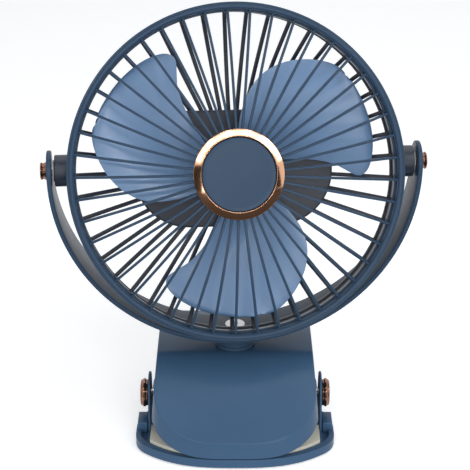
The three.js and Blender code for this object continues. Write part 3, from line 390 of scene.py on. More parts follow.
def boardFinish(name):
    # solder mask with copper tracks showing through as lighter lines
    material, place = newMaterial(name)
    tracks = place.make("ShaderNodeTexBrick", {"offset": 0.5}, {
        "Vector": place, "Scale": 260.0, "Mortar Size": 0.05, "Brick Width": 0.9, "Row Height": 0.35,
        "Color1": (0, 0, 0, 1), "Color2": (0.1, 0.1, 0.1, 1), "Mortar": (1, 1, 1, 1)}, output="Fac")
    return setShader(material, {
        "Base Color": tint(tracks, (0.012, 0.09, 0.035), (0.05, 0.2, 0.09)),
        "Roughness": 0.35 + tracks * 0.15,
        "Normal": bump(tracks, 0.3, 0.0001),
    })


def wrapFinish(name):
    # heat-shrunk film with fine creases
    material, place = newMaterial(name)
    creases = noise(place, 320, 4)
    return setShader(material, {
        "Base Color": tint(creases, (0.03, 0.2, 0.27), (0.05, 0.29, 0.37)),
        "Roughness": 0.3 + creases * 0.15,
        "Normal": bump(creases, 0.15, 0.0002),
    })


def lampFinish(name):
    material, place = newMaterial(name)
    frost = noise(place, 900, 3)
    return setShader(material, {
        "Base Color": tint(frost, (0.62, 0.67, 0.7), (0.8, 0.84, 0.86)),
        "Roughness": 0.22 + frost * 0.15,
        "Coat Weight": 0.4,
    })


finishes = {
    "cage": mouldedPlastic("cagePlastic", (0.026, 0.052, 0.093), 0.34, coat=0.04, reflection=0.15),
    # a darker copy of the cage plastic: painted shade for the rear grille, housing tub and power key, which sit
    # in the head's shadow
    "rear": mouldedPlastic("rearPlasticPaintedShade", (0.013, 0.021, 0.038), 0.42, grain=0.08),
    "clip": mouldedPlastic("clipPlastic", (0.04, 0.09, 0.168), 0.33, reflection=0.2),
    "blade": mouldedPlastic("bladePlastic", (0.138, 0.246, 0.425), 0.32, grain=0.03, coat=0.2),
    "roseGold": platedMetal("roseGoldPlating", (0.8, 0.45, 0.28), 0.1),
    # the rose-gold plating darkened to brown: painted shade standing in for the dark surroundings that the tilt
    # and hinge caps reflect
    "shadedCapMetal": platedMetal("capPlatingPaintedShade", (0.25, 0.135, 0.095), 0.2),
    "steel": brushedSteel("zincPlatedSteel", (0.56, 0.57, 0.59), 0.3),
    "springSteel": brushedSteel("springSteelWire", (0.26, 0.27, 0.29), 0.36, (400, 400, 400)),
    "pad": softRubber("padRubber", (0.55, 0.54, 0.46), 0.6),
    "foot": softRubber("footRubber", (0.024, 0.026, 0.03), 0.75),
    "nylon": mouldedPlastic("nylonWasher", (0.6, 0.6, 0.57), 0.5),
    "board": boardFinish("circuitBoard"),
    "wrap": wrapFinish("cellWrap"),
    "lamp": lampFinish("lampWindow"),
}
print("materials made:", len(finishes))

for node, finish in {
    "circuit_board": "board", "battery_cell": "wrap", "motor_can": "steel", "motor_shaft": "steel",
    "impeller_nut": "steel", "swivel_nut": "steel", "swivel_washer": "steel", "usb_socket": "steel",
    "hinge_pin": "steel", "tilt_screw_left": "steel", "tilt_screw_right": "steel",
    "tilt_washer_left": "nylon", "tilt_washer_right": "nylon", "led_window": "lamp",
    "cover_screw_1": "steel", "cover_screw_2": "steel", "cover_screw_3": "steel", "cover_screw_4": "steel",
}.items():
    dress(frame["nodes"][node], finishes[finish], 40)


# fitted to the photo: how far, how high and how long the lens
camera = {
    "target": (0, 0, 0.1311),
    "distance": 0.780,
    "elevation": 23.48,
    "focalPixels": 1375.7,
    "imagePixels": 470,
    "targetRow": 219.8,
}


def toCamera():
    rise = math.radians(camera["elevation"])
    return Vector((0, -math.cos(rise), math.sin(rise)))


def addCamera():
    data = bpy.data.cameras.new("photoCamera")
    data.lens = camera["focalPixels"] / camera["imagePixels"] * data.sensor_width
    data.shift_y = (camera["targetRow"] - camera["imagePixels"] / 2) / camera["imagePixels"]
    rig = bpy.data.objects.new("photoCamera", data)
    back = toCamera()
    rig.location = Vector(camera["target"]) + back * camera["distance"]
    rig.rotation_mode = "QUATERNION"
    rig.rotation_quaternion = (-back).to_track_quat("-Z", "Y")
    data.clip_start, data.clip_end = 0.01, 20
    bpy.context.scene.collection.objects.link(rig)
    bpy.context.scene.camera = rig


addCamera()


# the head is measured from its own middle, with the front at negative Y
head = {
    "rimRadius": 93, "rimWall": 2.8, "rimFlange": 4, "drop": 3.4, "rimFront": 17, "rimBack": 12,
    "frameDepth": 5.5, "rearFlange": 2.6, "spigotDepth": 5, "spigotWall": 2, "gap": 0.3,
    "spokes": 45, "rimSteps": 180,
}
head["frameBack"] = head["frameDepth"] - head["rimFront"]
head["rimInner"] = head["rimRadius"] - head["rimWall"]
head["flangeInner"] = head["rimRadius"] - head["rimFlange"]


def spoke(name, line, width, depth, round):
    shift = depth / 2
    outline = [(r, y - shift) for r, y in line] + [(r, y + shift) for r, y in reversed(line)]
    piece = extrudeOutline(name, [(r, y, -width / 2) for r, y in outline], (0, 0, width))
    return soften(piece, round, 2, 50)


def domeLine(grille, start, rootRadius, inner, outer):
    # from the start radius to the rim's flange, level up to the root radius
    end = head["flangeInner"] + grille["root"]
    line = []
    for i in range(grille["samples"] + 1):
        radius = start + (end - start) * i / grille["samples"]
        share = max(0, (radius - rootRadius) / (head["flangeInner"] - rootRadius))
        line.append((radius, inner + (outer - inner) * share ** grille["dome"]))
    return line


def ringOfSpokes(name, grille, line):
    fin = spoke(name, line, grille["spokeWidth"], grille["spokeDepth"], grille["spokeRound"])
    return ringOfCopies(fin, head["spokes"], math.pi / head["spokes"])


frontGrille = {
    "hubRadius": 24.4, "hubFace": 28.1, "hubDepth": 3.6,
    "spokeWidth": 1.4, "spokeDepth": 3.4, "spokeRound": 0.45, "root": 1.6, "samples": 14, "dome": 2.1,
    "edge": 1.0, "step": 1.6, "rimRound": 0.45,
}


def frontSpokeLine():
    g = frontGrille
    inner = -g["hubFace"] + g["spokeDepth"] / 2 + 0.1
    outer = -head["rimFront"] + head["frameDepth"] / 2
    return domeLine(g, g["hubRadius"] - g["root"], g["hubRadius"], inner, outer)


def buildFrontGrille():
    g = frontGrille
    back, front, radius = head["frameBack"], -head["rimFront"], head["rimRadius"]
    inside, edge, step = head["flangeInner"], g["edge"], g["step"]
    spigot = head["rimInner"] - head["gap"]
    rim = spinProfile("front_grille_rim", [
        (inside, back), (inside, front + edge), (inside + edge, front), (radius - step, front),
        (radius - step, front + step), (radius, front + step), (radius, back), (spigot, back),
        (spigot, back + head["spigotDepth"]), (spigot - head["spigotWall"], back + head["spigotDepth"]),
        (spigot - head["spigotWall"], back)], head["rimSteps"])
    soften(rim, g["rimRound"], 3)
    hub = addRod("front_grille_hub", g["hubRadius"], -g["hubFace"], g["hubDepth"] - g["hubFace"], 96)
    soften(hub, 0.5, 2)
    fins = ringOfSpokes("front_grille_spoke", g, frontSpokeLine())
    grille = joinPieces([rim, hub, fins])
    grille.name = "frontCage"
    settle(grille, headPlace, "head", finishes["cage"], ["front_grille"])


buildFrontGrille()
print("front grille done")

trim = {"outer": 24.6, "inner": 20.3, "back": 28.4, "depth": 2.9, "edge": 0.9, "round": 0.18}


def buildTrimRing():
    # a shallow cone that falls away outwards from its proud inner edge
    inner, outer, back = trim["inner"], trim["outer"], -trim["back"]
    crest, low = back - trim["depth"], back - trim["edge"]
    ring = spinProfile("hubTrim", [
        (outer, back), (inner, back), (inner, crest + 0.35), (inner + 0.35, crest), (outer - 0.25, low - 0.1),
        (outer, low)], 144)
    soften(ring, trim["round"], 3, 20)
    settle(ring, headPlace, "head", finishes["roseGold"], ["hub_trim_ring"], 50)


hubDisc = {"radius": 20.0, "back": 28.4, "depth": 2.1, "dish": 0.5, "round": 0.5}


def buildHubDisc():
    radius, back, dish = hubDisc["radius"], -hubDisc["back"], hubDisc["dish"]
    edge = back - hubDisc["depth"]
    disc = spinProfile("hubDisc", [
        (0, back), (radius, back), (radius, edge), (radius * 0.86, edge + dish * 0.35),
        (radius * 0.55, edge + dish * 0.8), (0, edge + dish)], 120, isClosed=False)
    soften(disc, hubDisc["round"], 3, 50)
    settle(disc, headPlace, "head", finishes["cage"], ["hub_cap"], 50)


buildTrimRing()
buildHubDisc()
print("hub done")

# the rear grille carries the housing tub and the tilt bosses
housing = {
    "width": 113, "height": 66, "corner": 31.02, "lift": 1.3, "wall": 2, "front": 13, "split": 27,
    "back": 46, "round": 6, "screwX": 40, "screwZ": 20, "bossRadius": 3.6, "screwHole": 1.6, "headHole": 2.9,
    "headSeat": 5,
}
rearGrille = {
    "spokeWidth": 2.3, "spokeDepth": 3.2, "spokeRound": 0.6, "root": 1.6, "samples": 14, "dome": 1.9,
    "sunk": 4, "bossRadius": 8.8, "bossStart": 88, "bossEnd": 99.8, "boreRadius": 2.8, "rimClearance": 1.4,
    "shaftHole": 4.0,
}


def rearSpokeLine():
    g = rearGrille
    outer = head["rimBack"] - head["rearFlange"] / 2
    rootRadius = housing["height"] / 2
    return domeLine(g, rootRadius - g["sunk"], rootRadius, housing["split"] - g["spokeDepth"], outer)


def housingBlock(name, inset, start, end, steps=14):
    outline = roundedRectangle(
        housing["width"] - 2 * inset, housing["height"] - 2 * inset, housing["corner"] - inset, steps,
        (0, housing["lift"]))
    return fromFront(name, outline, start, end)


def screwPlaces():
    return [(sx * housing["screwX"], sz * housing["screwZ"]) for sx in (1, -1) for sz in (1, -1)]


def postAt(name, radius, start, end, x, z, steps=24):
    post = addRod(name, radius, start, end, steps)
    post.data.transform(Matrix.Translation((x * mm, 0, z * mm)))
    return post


def buildRearGrille():
    g = rearGrille
    inside, radius, back = head["flangeInner"], head["rimRadius"], head["rimBack"]
    front = head["frameBack"] + head["gap"]
    rim = spinProfile("rear_rim", [
        (head["rimInner"], front), (radius, front), (radius, back - 1), (radius - 1, back), (inside, back),
        (inside, back - head["rearFlange"]), (head["rimInner"], back - head["rearFlange"])], head["rimSteps"])
    soften(rim, 0.4, 3)
    fins = ringOfSpokes("rear_spoke", g, rearSpokeLine())
    combine(fins, housingBlock("spoke_cut", housing["wall"] / 2, 0, housing["back"]), "DIFFERENCE")
    h, tubBack = housing, housing["split"] - head["gap"]
    tub = housingBlock("rear_tub", 0, h["front"], tubBack)
    soften(tub, 1.2, 4, 60)
    hollow = housingBlock("tub_hollow", h["wall"], h["front"] + h["wall"], h["split"] + 1)
    combine(tub, hollow, "DIFFERENCE")
    combine(tub, addRod("shaft_hole", g["shaftHole"], 10, 18, 24), "DIFFERENCE")
    posts = [postAt("cover_post", h["bossRadius"], h["front"] + 1.5, tubBack, x, z) for x, z in screwPlaces()]
    bosses = []
    for side in (-1, 1):
        start, end = side * g["bossStart"], side * g["bossEnd"]
        boss = spinProfile("tilt_boss", [
            (g["boreRadius"], start), (g["bossRadius"], start), (g["bossRadius"], end),
            (g["boreRadius"], end)], 64, "X")
        soften(boss, 0.5, 3)
        boss.data.transform(Matrix.Translation((0, 0, head["drop"] * mm)))
        cutter = addRod("rim_space", head["rimInner"] + g["rimClearance"], -20, 20, head["rimSteps"])
        bosses.append(combine(boss, cutter, "DIFFERENCE"))
    grille = joinPieces([rim, fins, tub] + posts + bosses)
    grille.name = "rearCage"
    settle(grille, headPlace, "head", finishes["rear"], ["rear_grille"])


buildRearGrille()
print("rear grille done")

cover = {"buttonHole": 7.3, "buttonZ": 10, "windowWidth": 14.6, "windowHeight": 3.6, "windowZ": -5,
         "socketWidth": 9.6, "socketHeight": 4.0, "socketZ": -17}


def coverShell(name, inset, back):
    block = housingBlock(name, inset, housing["split"] - housing["round"] * 2, back, 16)
    return soften(block, housing["round"] - inset, 6, 60)


def buildRearCover():
    h = housing
    back, seat = h["back"], h["back"] - h["headSeat"]
    shell = coverShell("rear_cover_shell", 0, back)
    combine(shell, coverShell("cover_hollow", h["wall"], back - h["wall"]), "DIFFERENCE")
    combine(shell, addBlock("ahead", (-80, -20, -60), (80, h["split"], 60)), "DIFFERENCE")
    tools = [postAt("button_hole", cover["buttonHole"], back - 4, back + 2, 0, cover["buttonZ"], 48)]
    for width, height, z in ((cover["windowWidth"], cover["windowHeight"], cover["windowZ"]),
                             (cover["socketWidth"], cover["socketHeight"], cover["socketZ"])):
        slot = roundedRectangle(width, height, height / 2 - 0.01, 8, (0, z))
        tools.append(fromFront("slot_hole", slot, back - 4, back + 2))
    for x, z in screwPlaces():
        tools.append(postAt("screw_well", h["headHole"], seat + 0.01, back + 2, x, z, 32))
    for tool in tools:
        combine(shell, tool, "DIFFERENCE")
    wells = []
    for x, z in screwPlaces():
        well = spinProfile("screw_post", [
            (h["screwHole"], h["split"]), (h["bossRadius"], h["split"]), (h["bossRadius"], back - 1),
            (h["headHole"], back - 1), (h["headHole"], seat), (h["screwHole"], seat)], 32)
        well.data.transform(Matrix.Translation((x * mm, 0, z * mm)))
        wells.append(well)
    soften(shell, 0.3, 2, 50)
    body = joinPieces([shell] + wells)
    body.name = "rearCover"
    settle(body, headPlace, "head", finishes["cage"], ["rear_cover"], 30)


buildRearCover()
print("rear cover done")

button = {"radius": 7, "flange": 1.6, "inside": 43.7, "front": 47.4, "dish": 0.7, "round": 0.6, "z": 10}


def buildButton():
    b = button
    radius, inside, front, dish = b["radius"], b["inside"], b["front"], b["dish"]
    wide, low = radius + b["flange"], inside - b["flange"]
    knob = spinProfile("powerKey", [
        (0, low), (wide, low), (wide, inside), (radius, inside), (radius, front),
        (radius * 0.7, front - dish * 0.55), (radius * 0.35, front - dish * 0.9), (0, front - dish)], 64,
        isClosed=False)
    soften(knob, b["round"], 4, 50)
    knob.data.transform(Matrix.Translation((0, 0, b["z"] * mm)))
    settle(knob, headPlace, "button", finishes["rear"], ["power_button"], 50)


buildButton()
print("button done")

impeller = {
    "blades": 3, "tip": 81.8, "thickness": 1.5, "span": 17, "front": 8, "start": 2, "sweep": 84,
    "camber": 2.2, "hubRadius": 18.5, "hubFront": 14, "hubBack": 10, "hubWall": 2.4, "bossRadius": 4.5,
    "bore": 1.65, "across": 40, "outward": 64, "round": 0.42,
}
# share of the way out, then the angles of a blade's two edges in degrees
bladeRows = (
    (0, 20, 88), (0.1, 15, 86), (0.23, 11.3, 84), (0.35, 8.6, 81.3), (0.48, 5.9, 78), (0.6, 3, 73.6),
    (0.69, 0, 69), (0.763, -2.3, 64.6), (0.825, -3.5, 60.2), (0.876, -2.8, 56.3), (0.92, 0, 52.6),
    (0.953, 5.5, 49.6), (0.975, 13, 47.3), (0.99, 22, 45), (1, 32, 42))


def bladeEdge(out, column):
    # a smooth curve through the rows
    i = max(k for k in range(len(bladeRows) - 1) if bladeRows[k][0] <= out)

    def slope(k):
        low, high = max(0, k - 1), min(len(bladeRows) - 1, k + 1)
        return (bladeRows[high][column] - bladeRows[low][column]) / (bladeRows[high][0] - bladeRows[low][0])
    start, end = bladeRows[i], bladeRows[i + 1]
    run = end[0] - start[0]
    t = (out - start[0]) / run
    return ((2 * t ** 3 - 3 * t ** 2 + 1) * start[column] + (t ** 3 - 2 * t ** 2 + t) * run * slope(i)
            + (3 * t ** 2 - 2 * t ** 3) * end[column] + (t ** 3 - t ** 2) * run * slope(i + 1))


def bladePoint(across, outward):
    p = impeller
    out = 1 - (1 - outward) ** 1.8
    inner = p["hubRadius"] - p["hubWall"] / 2
    radius = inner + (p["tip"] - inner) * out
    first, last = bladeEdge(out, 1), bladeEdge(out, 2)
    degrees = first + (last - first) * across
    pitch = (degrees - p["start"]) / p["sweep"]
    along = -p["front"] + p["span"] * (1 - pitch) - p["camber"] * math.sin(math.pi * across)
    angle = math.radians(degrees)
    return Vector((radius * math.cos(angle), along, radius * math.sin(angle))) * mm


def buildBlade(turn):
    p = impeller
    blade = addPrimitive(
        "blade", bpy.ops.mesh.primitive_grid_add, x_subdivisions=p["across"], y_subdivisions=p["outward"], size=1)
    for vertex in blade.data.vertices:
        vertex.co = bladePoint(vertex.co.x + 0.5, vertex.co.y + 0.5)
    bpy.ops.object.mode_set(mode="EDIT")
    leaveEdit()
    applyModifier(blade, "SOLIDIFY", thickness=p["thickness"] * mm, offset=0)
    soften(blade, p["round"], 3, 60)
    blade.data.transform(Matrix.Rotation(turn, 4, "Y"))
    return blade


def buildImpeller():
    p = impeller
    front, back, radius, wall = -p["hubFront"], p["hubBack"], p["hubRadius"], p["hubWall"]
    cup = spinProfile("impeller_cup", [
        (p["bore"], front), (radius - 3, front), (radius - 0.9, front + 0.9), (radius, front + 3),
        (radius, back), (radius - wall, back), (radius - wall, front + 3.4), (radius - 4, front + wall),
        (p["bossRadius"], front + wall), (p["bossRadius"], back - 1), (p["bore"], back - 1)], 96)
    soften(cup, 0.4, 2)
    blades = [buildBlade(2 * math.pi * i / p["blades"]) for i in range(p["blades"])]
    body = joinPieces([cup] + blades)
    body.name = "fanWheel"
    settle(body, headPlace, "impeller", finishes["blade"], ["impeller"], 40)


buildImpeller()
print("impeller done")

# the yoke is measured from the middle of the tilt axis
yoke = {"radius": 104, "wall": 2.6, "topHalf": 11.4, "bottomHalf": 15.6, "hole": 2.8, "bolt": 3.3,
        "round": 0.7, "steps": 128}


def buildYoke():
    y = yoke
    radius, inner, top, reach = y["radius"], y["radius"] - y["wall"], y["topHalf"] + 1, y["radius"] + 2
    hoopLine = [(-radius, top)] + arc(0, 0, radius, math.pi, 2 * math.pi, y["steps"])
    hoopLine += [(radius, top), (inner, top)] + arc(0, 0, inner, 2 * math.pi, math.pi, y["steps"])
    hoop = fromFront("hoop", hoopLine + [(-inner, top)], -20, 20)
    strapLine = [(-y["bottomHalf"], -reach), (y["bottomHalf"], -reach)]
    strapLine += arc(0, 0, y["topHalf"], 0, math.pi, 32)
    combine(hoop, fromSide("strap", strapLine, -reach, reach), "INTERSECT")
    combine(hoop, addRod("pivots", y["hole"], -far, far, 40, "X"), "DIFFERENCE")
    combine(hoop, addRod("bolt_hole", y["bolt"], -far, -60, 40, "Z"), "DIFFERENCE")
    tidyFaces(hoop)
    soften(hoop, y["round"], 3, 50, isClamped=False)
    hoop.name = "yokeHoop"
    settle(hoop, yokePlace, "yoke", finishes["cage"], ["yoke"], 30)


buildYoke()
print("yoke done")

collar = {"low": -111.7, "high": -104.3, "radius": 10.5, "flange": 1.2, "bore": 3.3}


def buildCollar():
    c = collar
    wide = c["radius"] + c["flange"]
    body = spinProfile("swivelCollar", [
        (c["bore"], c["low"]), (wide, c["low"]), (wide, c["low"] + 1.6), (c["radius"], c["low"] + 2.4),
        (c["radius"], c["high"] - 1), (wide, c["high"]), (c["bore"], c["high"])], 96, "Z")
    soften(body, 0.4, 3, 25)
    settle(body, yokePlace, "yoke", finishes["cage"], ["swivel_collar"], 35)


bolt = {"seat": -100.75, "shank": 3, "head": 5.8, "depth": 1.9, "round": 0.6, "socket": 1.95}


def buildBolt():
    b = bolt
    top = b["seat"] + b["depth"]
    low = (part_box("swivel_bolt")[0].z - pivotCentre.z) / mm
    body = spinProfile("swivelScrew", [
        (0, low), (b["shank"], low), (b["shank"], b["seat"]), (b["head"], b["seat"]),
        (b["head"], top), (0, top)], 48, "Z", False)
    soften(body, b["round"], 4, 50)
    hexagon = arc(0, 0, b["socket"], 0, math.pi * 5 / 3, 5)
    combine(body, fromAbove("hex_socket", hexagon, top - 1.2, top + 1), "DIFFERENCE")
    settle(body, yokePlace, "yoke", finishes["steel"], ["swivel_bolt"], 30)


tiltCap = {"start": 104.3, "recess": 106.1, "end": 107.8, "radius": 5, "waist": 0.55, "bore": 4.3}


def buildTiltCap(side, node):
    c = tiltCap
    start, end, radius, recess = c["start"], c["end"], c["radius"], c["recess"]
    middle, waist = (start + end) / 2, radius - c["waist"]
    profile = [
        (0, recess), (c["bore"], recess), (c["bore"], start), (radius, start), (radius, start + 0.7),
        (waist, middle - 0.35), (waist, middle + 0.35), (radius, end - 0.8), (radius - 0.5, end),
        (radius * 0.6, end - 0.45), (0, end - 0.8)]
    cap = spinProfile("tiltCap", [(r, side * a) for r, a in profile], 64, "X", False)
    soften(cap, 0.2, 2, 30)
    cap.name = "tiltCap" + node.split("_")[-1].capitalize()
    settle(cap, tiltPlace, "head", finishes["shadedCapMetal"], [node], 35)


buildCollar()
buildBolt()
buildTiltCap(-1, "tilt_cap_left")
buildTiltCap(1, "tilt_cap_right")
print("swivel and tilt caps done")

lowerToe = {"half": 58, "front": -54, "depth": 20.4, "power": 2.85, "side": 51, "sideStart": -26}
lowerJaw = {
    "half": 58, "shoulder": -12, "corner": 7, "low": 0.6, "rimTop": 5.9,
    "rimWall": 3, "floor": 3.0, "rear": 50, "rearTop": 5, "rearCorner": 14, "rearStep": 14, "toeBack": -19,
    "earInner": 49.7, "earWall": 1.4, "earRise": 13, "earFoot": 16, "sillTop": 4.6, "sillLength": 28,
    "sillLow": 1.6, "hingeY": -6, "hingeZ": 22, "pinHole": 2.15, "round": 0.7,
    "seatInset": 3.7, "seatTop": 1.9, "blockLow": (51.5, -21, 3), "blockHigh": (57.3, -8, 10),
}
lowerJaw["rearHalf"] = lowerJaw["earInner"] + lowerJaw["earWall"]


def toeLine(toe, inset, steps=30):
    # a broad toe, and the corner that turns from its right end into the side
    half, front = toe["half"] - inset, toe["front"] + inset
    side = toe["side"] * half / toe["half"]
    line = []
    for i in range(-steps, steps + 1):
        x = side * i / steps
        line.append((x, front + toe["depth"] * abs(x / half) ** toe["power"]))
    end = line[-1]
    aim = end[1] + (half - side) * toe["power"] * (end[1] - front) / side
    return line, bend(end, (half, aim), (half, toe["sideStart"]), 12)[1:]


def lowerOutline(inset):
    j = lowerJaw
    half, rearHalf = j["half"] - inset, j["rearHalf"] - inset
    cut, rearCorner = j["corner"] - inset / 2, j["rearCorner"] - inset
    drawnIn = j["shoulder"] + j["half"] - j["rearHalf"] + j["corner"]
    elbow = ((half + rearHalf) / 2, (j["shoulder"] + drawnIn) / 2)
    toe, turn = toeLine(lowerToe, inset)
    right = turn + bend((half, j["shoulder"] - cut), (half, j["shoulder"]), elbow) + [(rearHalf, drawnIn)]
    right += arc(rearHalf - rearCorner, j["rear"] - inset - rearCorner, rearCorner, 0, math.pi / 2, 14)
    return toe + right + mirrored(right)


def toHinge(piece):
    piece.data.transform(Matrix.Translation((0, lowerJaw["hingeY"] * mm, lowerJaw["hingeZ"] * mm)))
    return piece


def earStart(side):
    return lowerJaw["earInner"] if side > 0 else -lowerJaw["rearHalf"]


def buildEar(side):
    j = lowerJaw
    round = j["earRise"] * 0.72
    foot = j["low"] + 1.2
    line = [(j["hingeY"] - j["earFoot"], foot), (j["hingeY"] + j["earFoot"], foot)]
    line += arc(j["hingeY"], j["hingeZ"] + j["earRise"] - round, round, math.pi * 0.12, math.pi * 0.88, 24)
    start = earStart(side)
    ear = soften(fromSide("ear", line, start, start + j["earWall"]), 0.4, 3, 60)
    return combine(ear, toHinge(addRod("pin_hole", j["pinHole"], -60, 60, 32, "X")), "DIFFERENCE")


def buildSill(side):
    j, start = lowerJaw, earStart(side)
    low = (start, j["hingeY"] - j["sillLength"], j["sillLow"])
    return soften(addBlock("sill", low, (start + j["earWall"], j["hingeY"], j["sillTop"])), 0.4, 2, 40)


def buildSideBlock(side):
    (near, front, low), (deep, back, high) = lowerJaw["blockLow"], lowerJaw["blockHigh"]
    left, right = sorted((side * near, side * deep))
    return soften(addBlock("side_block", (left, front, low), (right, back, high)), 0.6, 3, 40)


def buildLowerJaw():
    j = lowerJaw
    body = fromAbove("lower_body", lowerOutline(0), j["low"], j["rimTop"])
    combine(body, addBlock("rear_step", (-far, j["rearStep"], j["rearTop"]), (far, far, far)), "DIFFERENCE")
    toePocket = fromAbove("toe_pocket", lowerOutline(j["rimWall"]), j["floor"], far)
    combine(toePocket, addBlock("toe_limit", (-far, -far, 0), (far, j["toeBack"], far + 1)), "INTERSECT")
    rearPocket = fromAbove("rear_pocket", lowerOutline(j["rimWall"]), j["floor"], far)
    middle, back = j["earInner"] - 2, j["rear"] - j["rimWall"]
    combine(rearPocket, addBlock("middle_limit", (-middle, -far, 0), (middle, back, far + 1)), "INTERSECT")
    combine(body, toePocket, "DIFFERENCE")
    combine(body, rearPocket, "DIFFERENCE")
    combine(body, fromAbove("pad_seat", lowerOutline(j["seatInset"]), -1, j["seatTop"]), "DIFFERENCE")
    soften(body, j["round"], 3, 40)
    parts = [build(side) for side in (-1, 1) for build in (buildEar, buildSill, buildSideBlock)]
    jaw = joinPieces([body] + parts)
    jaw.name = "clipLowerJaw"
    settle(jaw, clipPlace, "lower_jaw", finishes["clip"], ["lower_jaw"], 30)


buildLowerJaw()
foot = fromAbove("footPad", lowerOutline(4), 0, 1.6)
soften(foot, 0.25, 2, 50)
settle(foot, clipPlace, "lower_jaw", finishes["foot"], ["base_pad"], 40)
print("lower jaw done")

upperToe = {"half": 49.3, "front": -54, "depth": 17.8, "power": 3.6, "side": 42, "sideStart": -29}
upperJaw = {
    "half": 49.3, "flareZ": 8, "flare": 0.0018, "wall": 2.4, "plate": 2.6, "top": 52, "lipBottom": 6.5,
    "lipTop": 16.5, "lipFront": -54, "panelRun": 38, "crestAhead": 14, "crestBehind": 7, "topHalf": 14.2,
    "rear": 50, "rearTop": 48, "skirt": 6.5, "rearCorner": 15, "mouthRise": 12, "mouthLength": 18,
    "shelfLow": 13.4, "shelfTop": 15.5, "lobe": 7.6, "edge": 0.8, "boltHole": 3.3, "pinHole": 2.3,
}
upperJaw["slope"] = (upperJaw["top"] - upperJaw["lipTop"]) / upperJaw["panelRun"]


def upperOutline(inset):
    j = upperJaw
    half, corner = j["half"] - inset, j["rearCorner"] - inset
    toe, turn = toeLine(upperToe, inset)
    right = turn + arc(half - corner, j["rear"] - inset - corner, corner, 0, math.pi / 2, 14)
    return toe + right + mirrored(right)


pad = {"outer": 3.4, "band": 13.6, "half": 49.3, "low": 3.3, "ledge": 7.7, "top": 9.8, "upperLow": 10.1,
       "upperTop": 13.1, "upperInset": 2.7, "upperBand": 12, "upperLength": 24, "clearance": 0.6,
       "grooves": 3, "grooveWidth": 1.2, "grooveDepth": 0.8, "round": 0.3}
# the working faces curve back further at the sides than the lip does
faceToe = {"half": 49.3, "front": -54, "depth": 36.8, "power": 3, "side": 49.2, "sideStart": -17}


def addBand(name, outside, inside, low, high):
    band = fromAbove(name, outside, low, high)
    return combine(band, fromAbove("band_inside", inside, low - 2, high + 2), "DIFFERENCE")


def toePlan(inset, back):
    line, turn = toeLine(lowerToe, inset)
    right = turn + [(turn[-1][0], back)]
    return line + right + mirrored(right)


def toeBand(name, near, deep, low, high):
    # what lies between two insets from the lower jaw's toe
    return addBand(name, toePlan(near, 0), toePlan(deep, 9), low, high)


def padOutline(inset):
    line, turn = toeLine(faceToe, inset)
    return line + [(line[-1][0], 0), (line[0][0], 0)]


def lipBand(name, near, deep, low, high):
    return addBand(name, padOutline(near), padOutline(deep), low, high)


def buildLowerPad():
    p = pad
    near, deep = p["outer"], p["outer"] + p["band"]
    piece = toeBand("lowerPad", near, deep, p["low"], p["ledge"])
    face = toeBand("pad_face", near, deep, p["ledge"] - 1, p["top"])
    insideLip = fromAbove("inside_lip", padOutline(upperJaw["wall"] + p["clearance"]), 0, 30)
    combine(face, insideLip, "INTERSECT")
    combine(piece, face, "UNION")
    limit = addBlock("pad_limit", (-p["half"], -far, 0), (p["half"], lowerJaw["toeBack"] - 0.3, 30))
    combine(piece, limit, "INTERSECT")
    pitch = p["band"] / (p["grooves"] + 1)
    for i in range(1, p["grooves"] + 1):
        start = near + i * pitch
        groove = toeBand("groove", start, start + p["grooveWidth"], p["top"] - p["grooveDepth"], 30)
        combine(piece, groove, "DIFFERENCE")
    soften(piece, p["round"], 2, 50)
    settle(piece, clipPlace, "lower_jaw", finishes["pad"], ["lower_jaw_pad"], 35)


def buildUpperPad():
    p = pad
    low, start = p["upperLow"], p["upperInset"]
    piece = lipBand("upperPad", start, start + p["upperBand"], low, p["upperTop"])
    limit = addBlock("pad_limit", (-80, -80, 0), (80, upperJaw["lipFront"] + p["upperLength"], 30))
    combine(piece, limit, "INTERSECT")
    pitch = p["upperBand"] / (p["grooves"] + 1)
    for i in range(1, p["grooves"] + 1):
        near = start + i * pitch - p["grooveWidth"] / 2
        groove = lipBand("groove", near, near + p["grooveWidth"], low - 1, low + p["grooveDepth"])
        combine(piece, groove, "DIFFERENCE")
    soften(piece, p["round"], 2, 50)
    settle(piece, clipPlace, "upper_jaw", finishes["pad"], ["upper_jaw_pad"], 35)


buildLowerPad()
buildUpperPad()
print("pads done")


def upperTopLine(down):
    # the line along the middle seen from the side, moved in by the plate, with a rounded crest
    j = upperJaw
    slope, across = j["slope"], math.hypot(1, j["slope"])
    handleSlope = (j["top"] - j["rearTop"]) / (j["rear"] - j["topHalf"])
    foot = j["lipTop"] - down * across
    top = j["top"] - down
    crest = j["lipFront"] + (top - foot) / slope
    ahead = (crest - j["crestAhead"] / across, top - j["crestAhead"] * slope / across)
    line = [(j["lipFront"] - 2, foot - 2 * slope)]
    line += bend(ahead, (crest, top), (crest + j["crestBehind"], top), 10)
    return line + [(j["topHalf"], top), (j["rear"] + 1, j["rearTop"] - handleSlope - down)]


def upperSkirtLine():
    j = upperJaw
    hingeY, hingeZ = lowerJaw["hingeY"], lowerJaw["hingeZ"]
    lobe = arc(hingeY, hingeZ, j["lobe"], math.radians(-10), math.radians(-150), 14)
    front, low, rise = j["lipFront"], j["lipBottom"], j["mouthRise"] / j["mouthLength"]
    under = [(j["rear"] + 1, j["rearTop"] - j["skirt"]), (j["topHalf"] + 4, j["top"] - 1.5 * j["skirt"] - 2)]
    mouth = [(front + j["mouthLength"], low + j["mouthRise"]), (front, low), (front - 2, low - 2 * rise)]
    return under + lobe + mouth


def flare(piece):
    for vertex in piece.data.vertices:
        vertex.co.x *= 1 - (vertex.co.z / mm - upperJaw["flareZ"]) * upperJaw["flare"]


def isUpperEdge(edge):
    # all but the edges under the skirt and along the mouth
    low = (upperJaw["lipTop"] - 1.5) * mm
    isUnder = any(face.normal.z < -0.2 for face in edge.link_faces)
    return not isUnder and all(vertex.co.z > low for vertex in edge.verts)


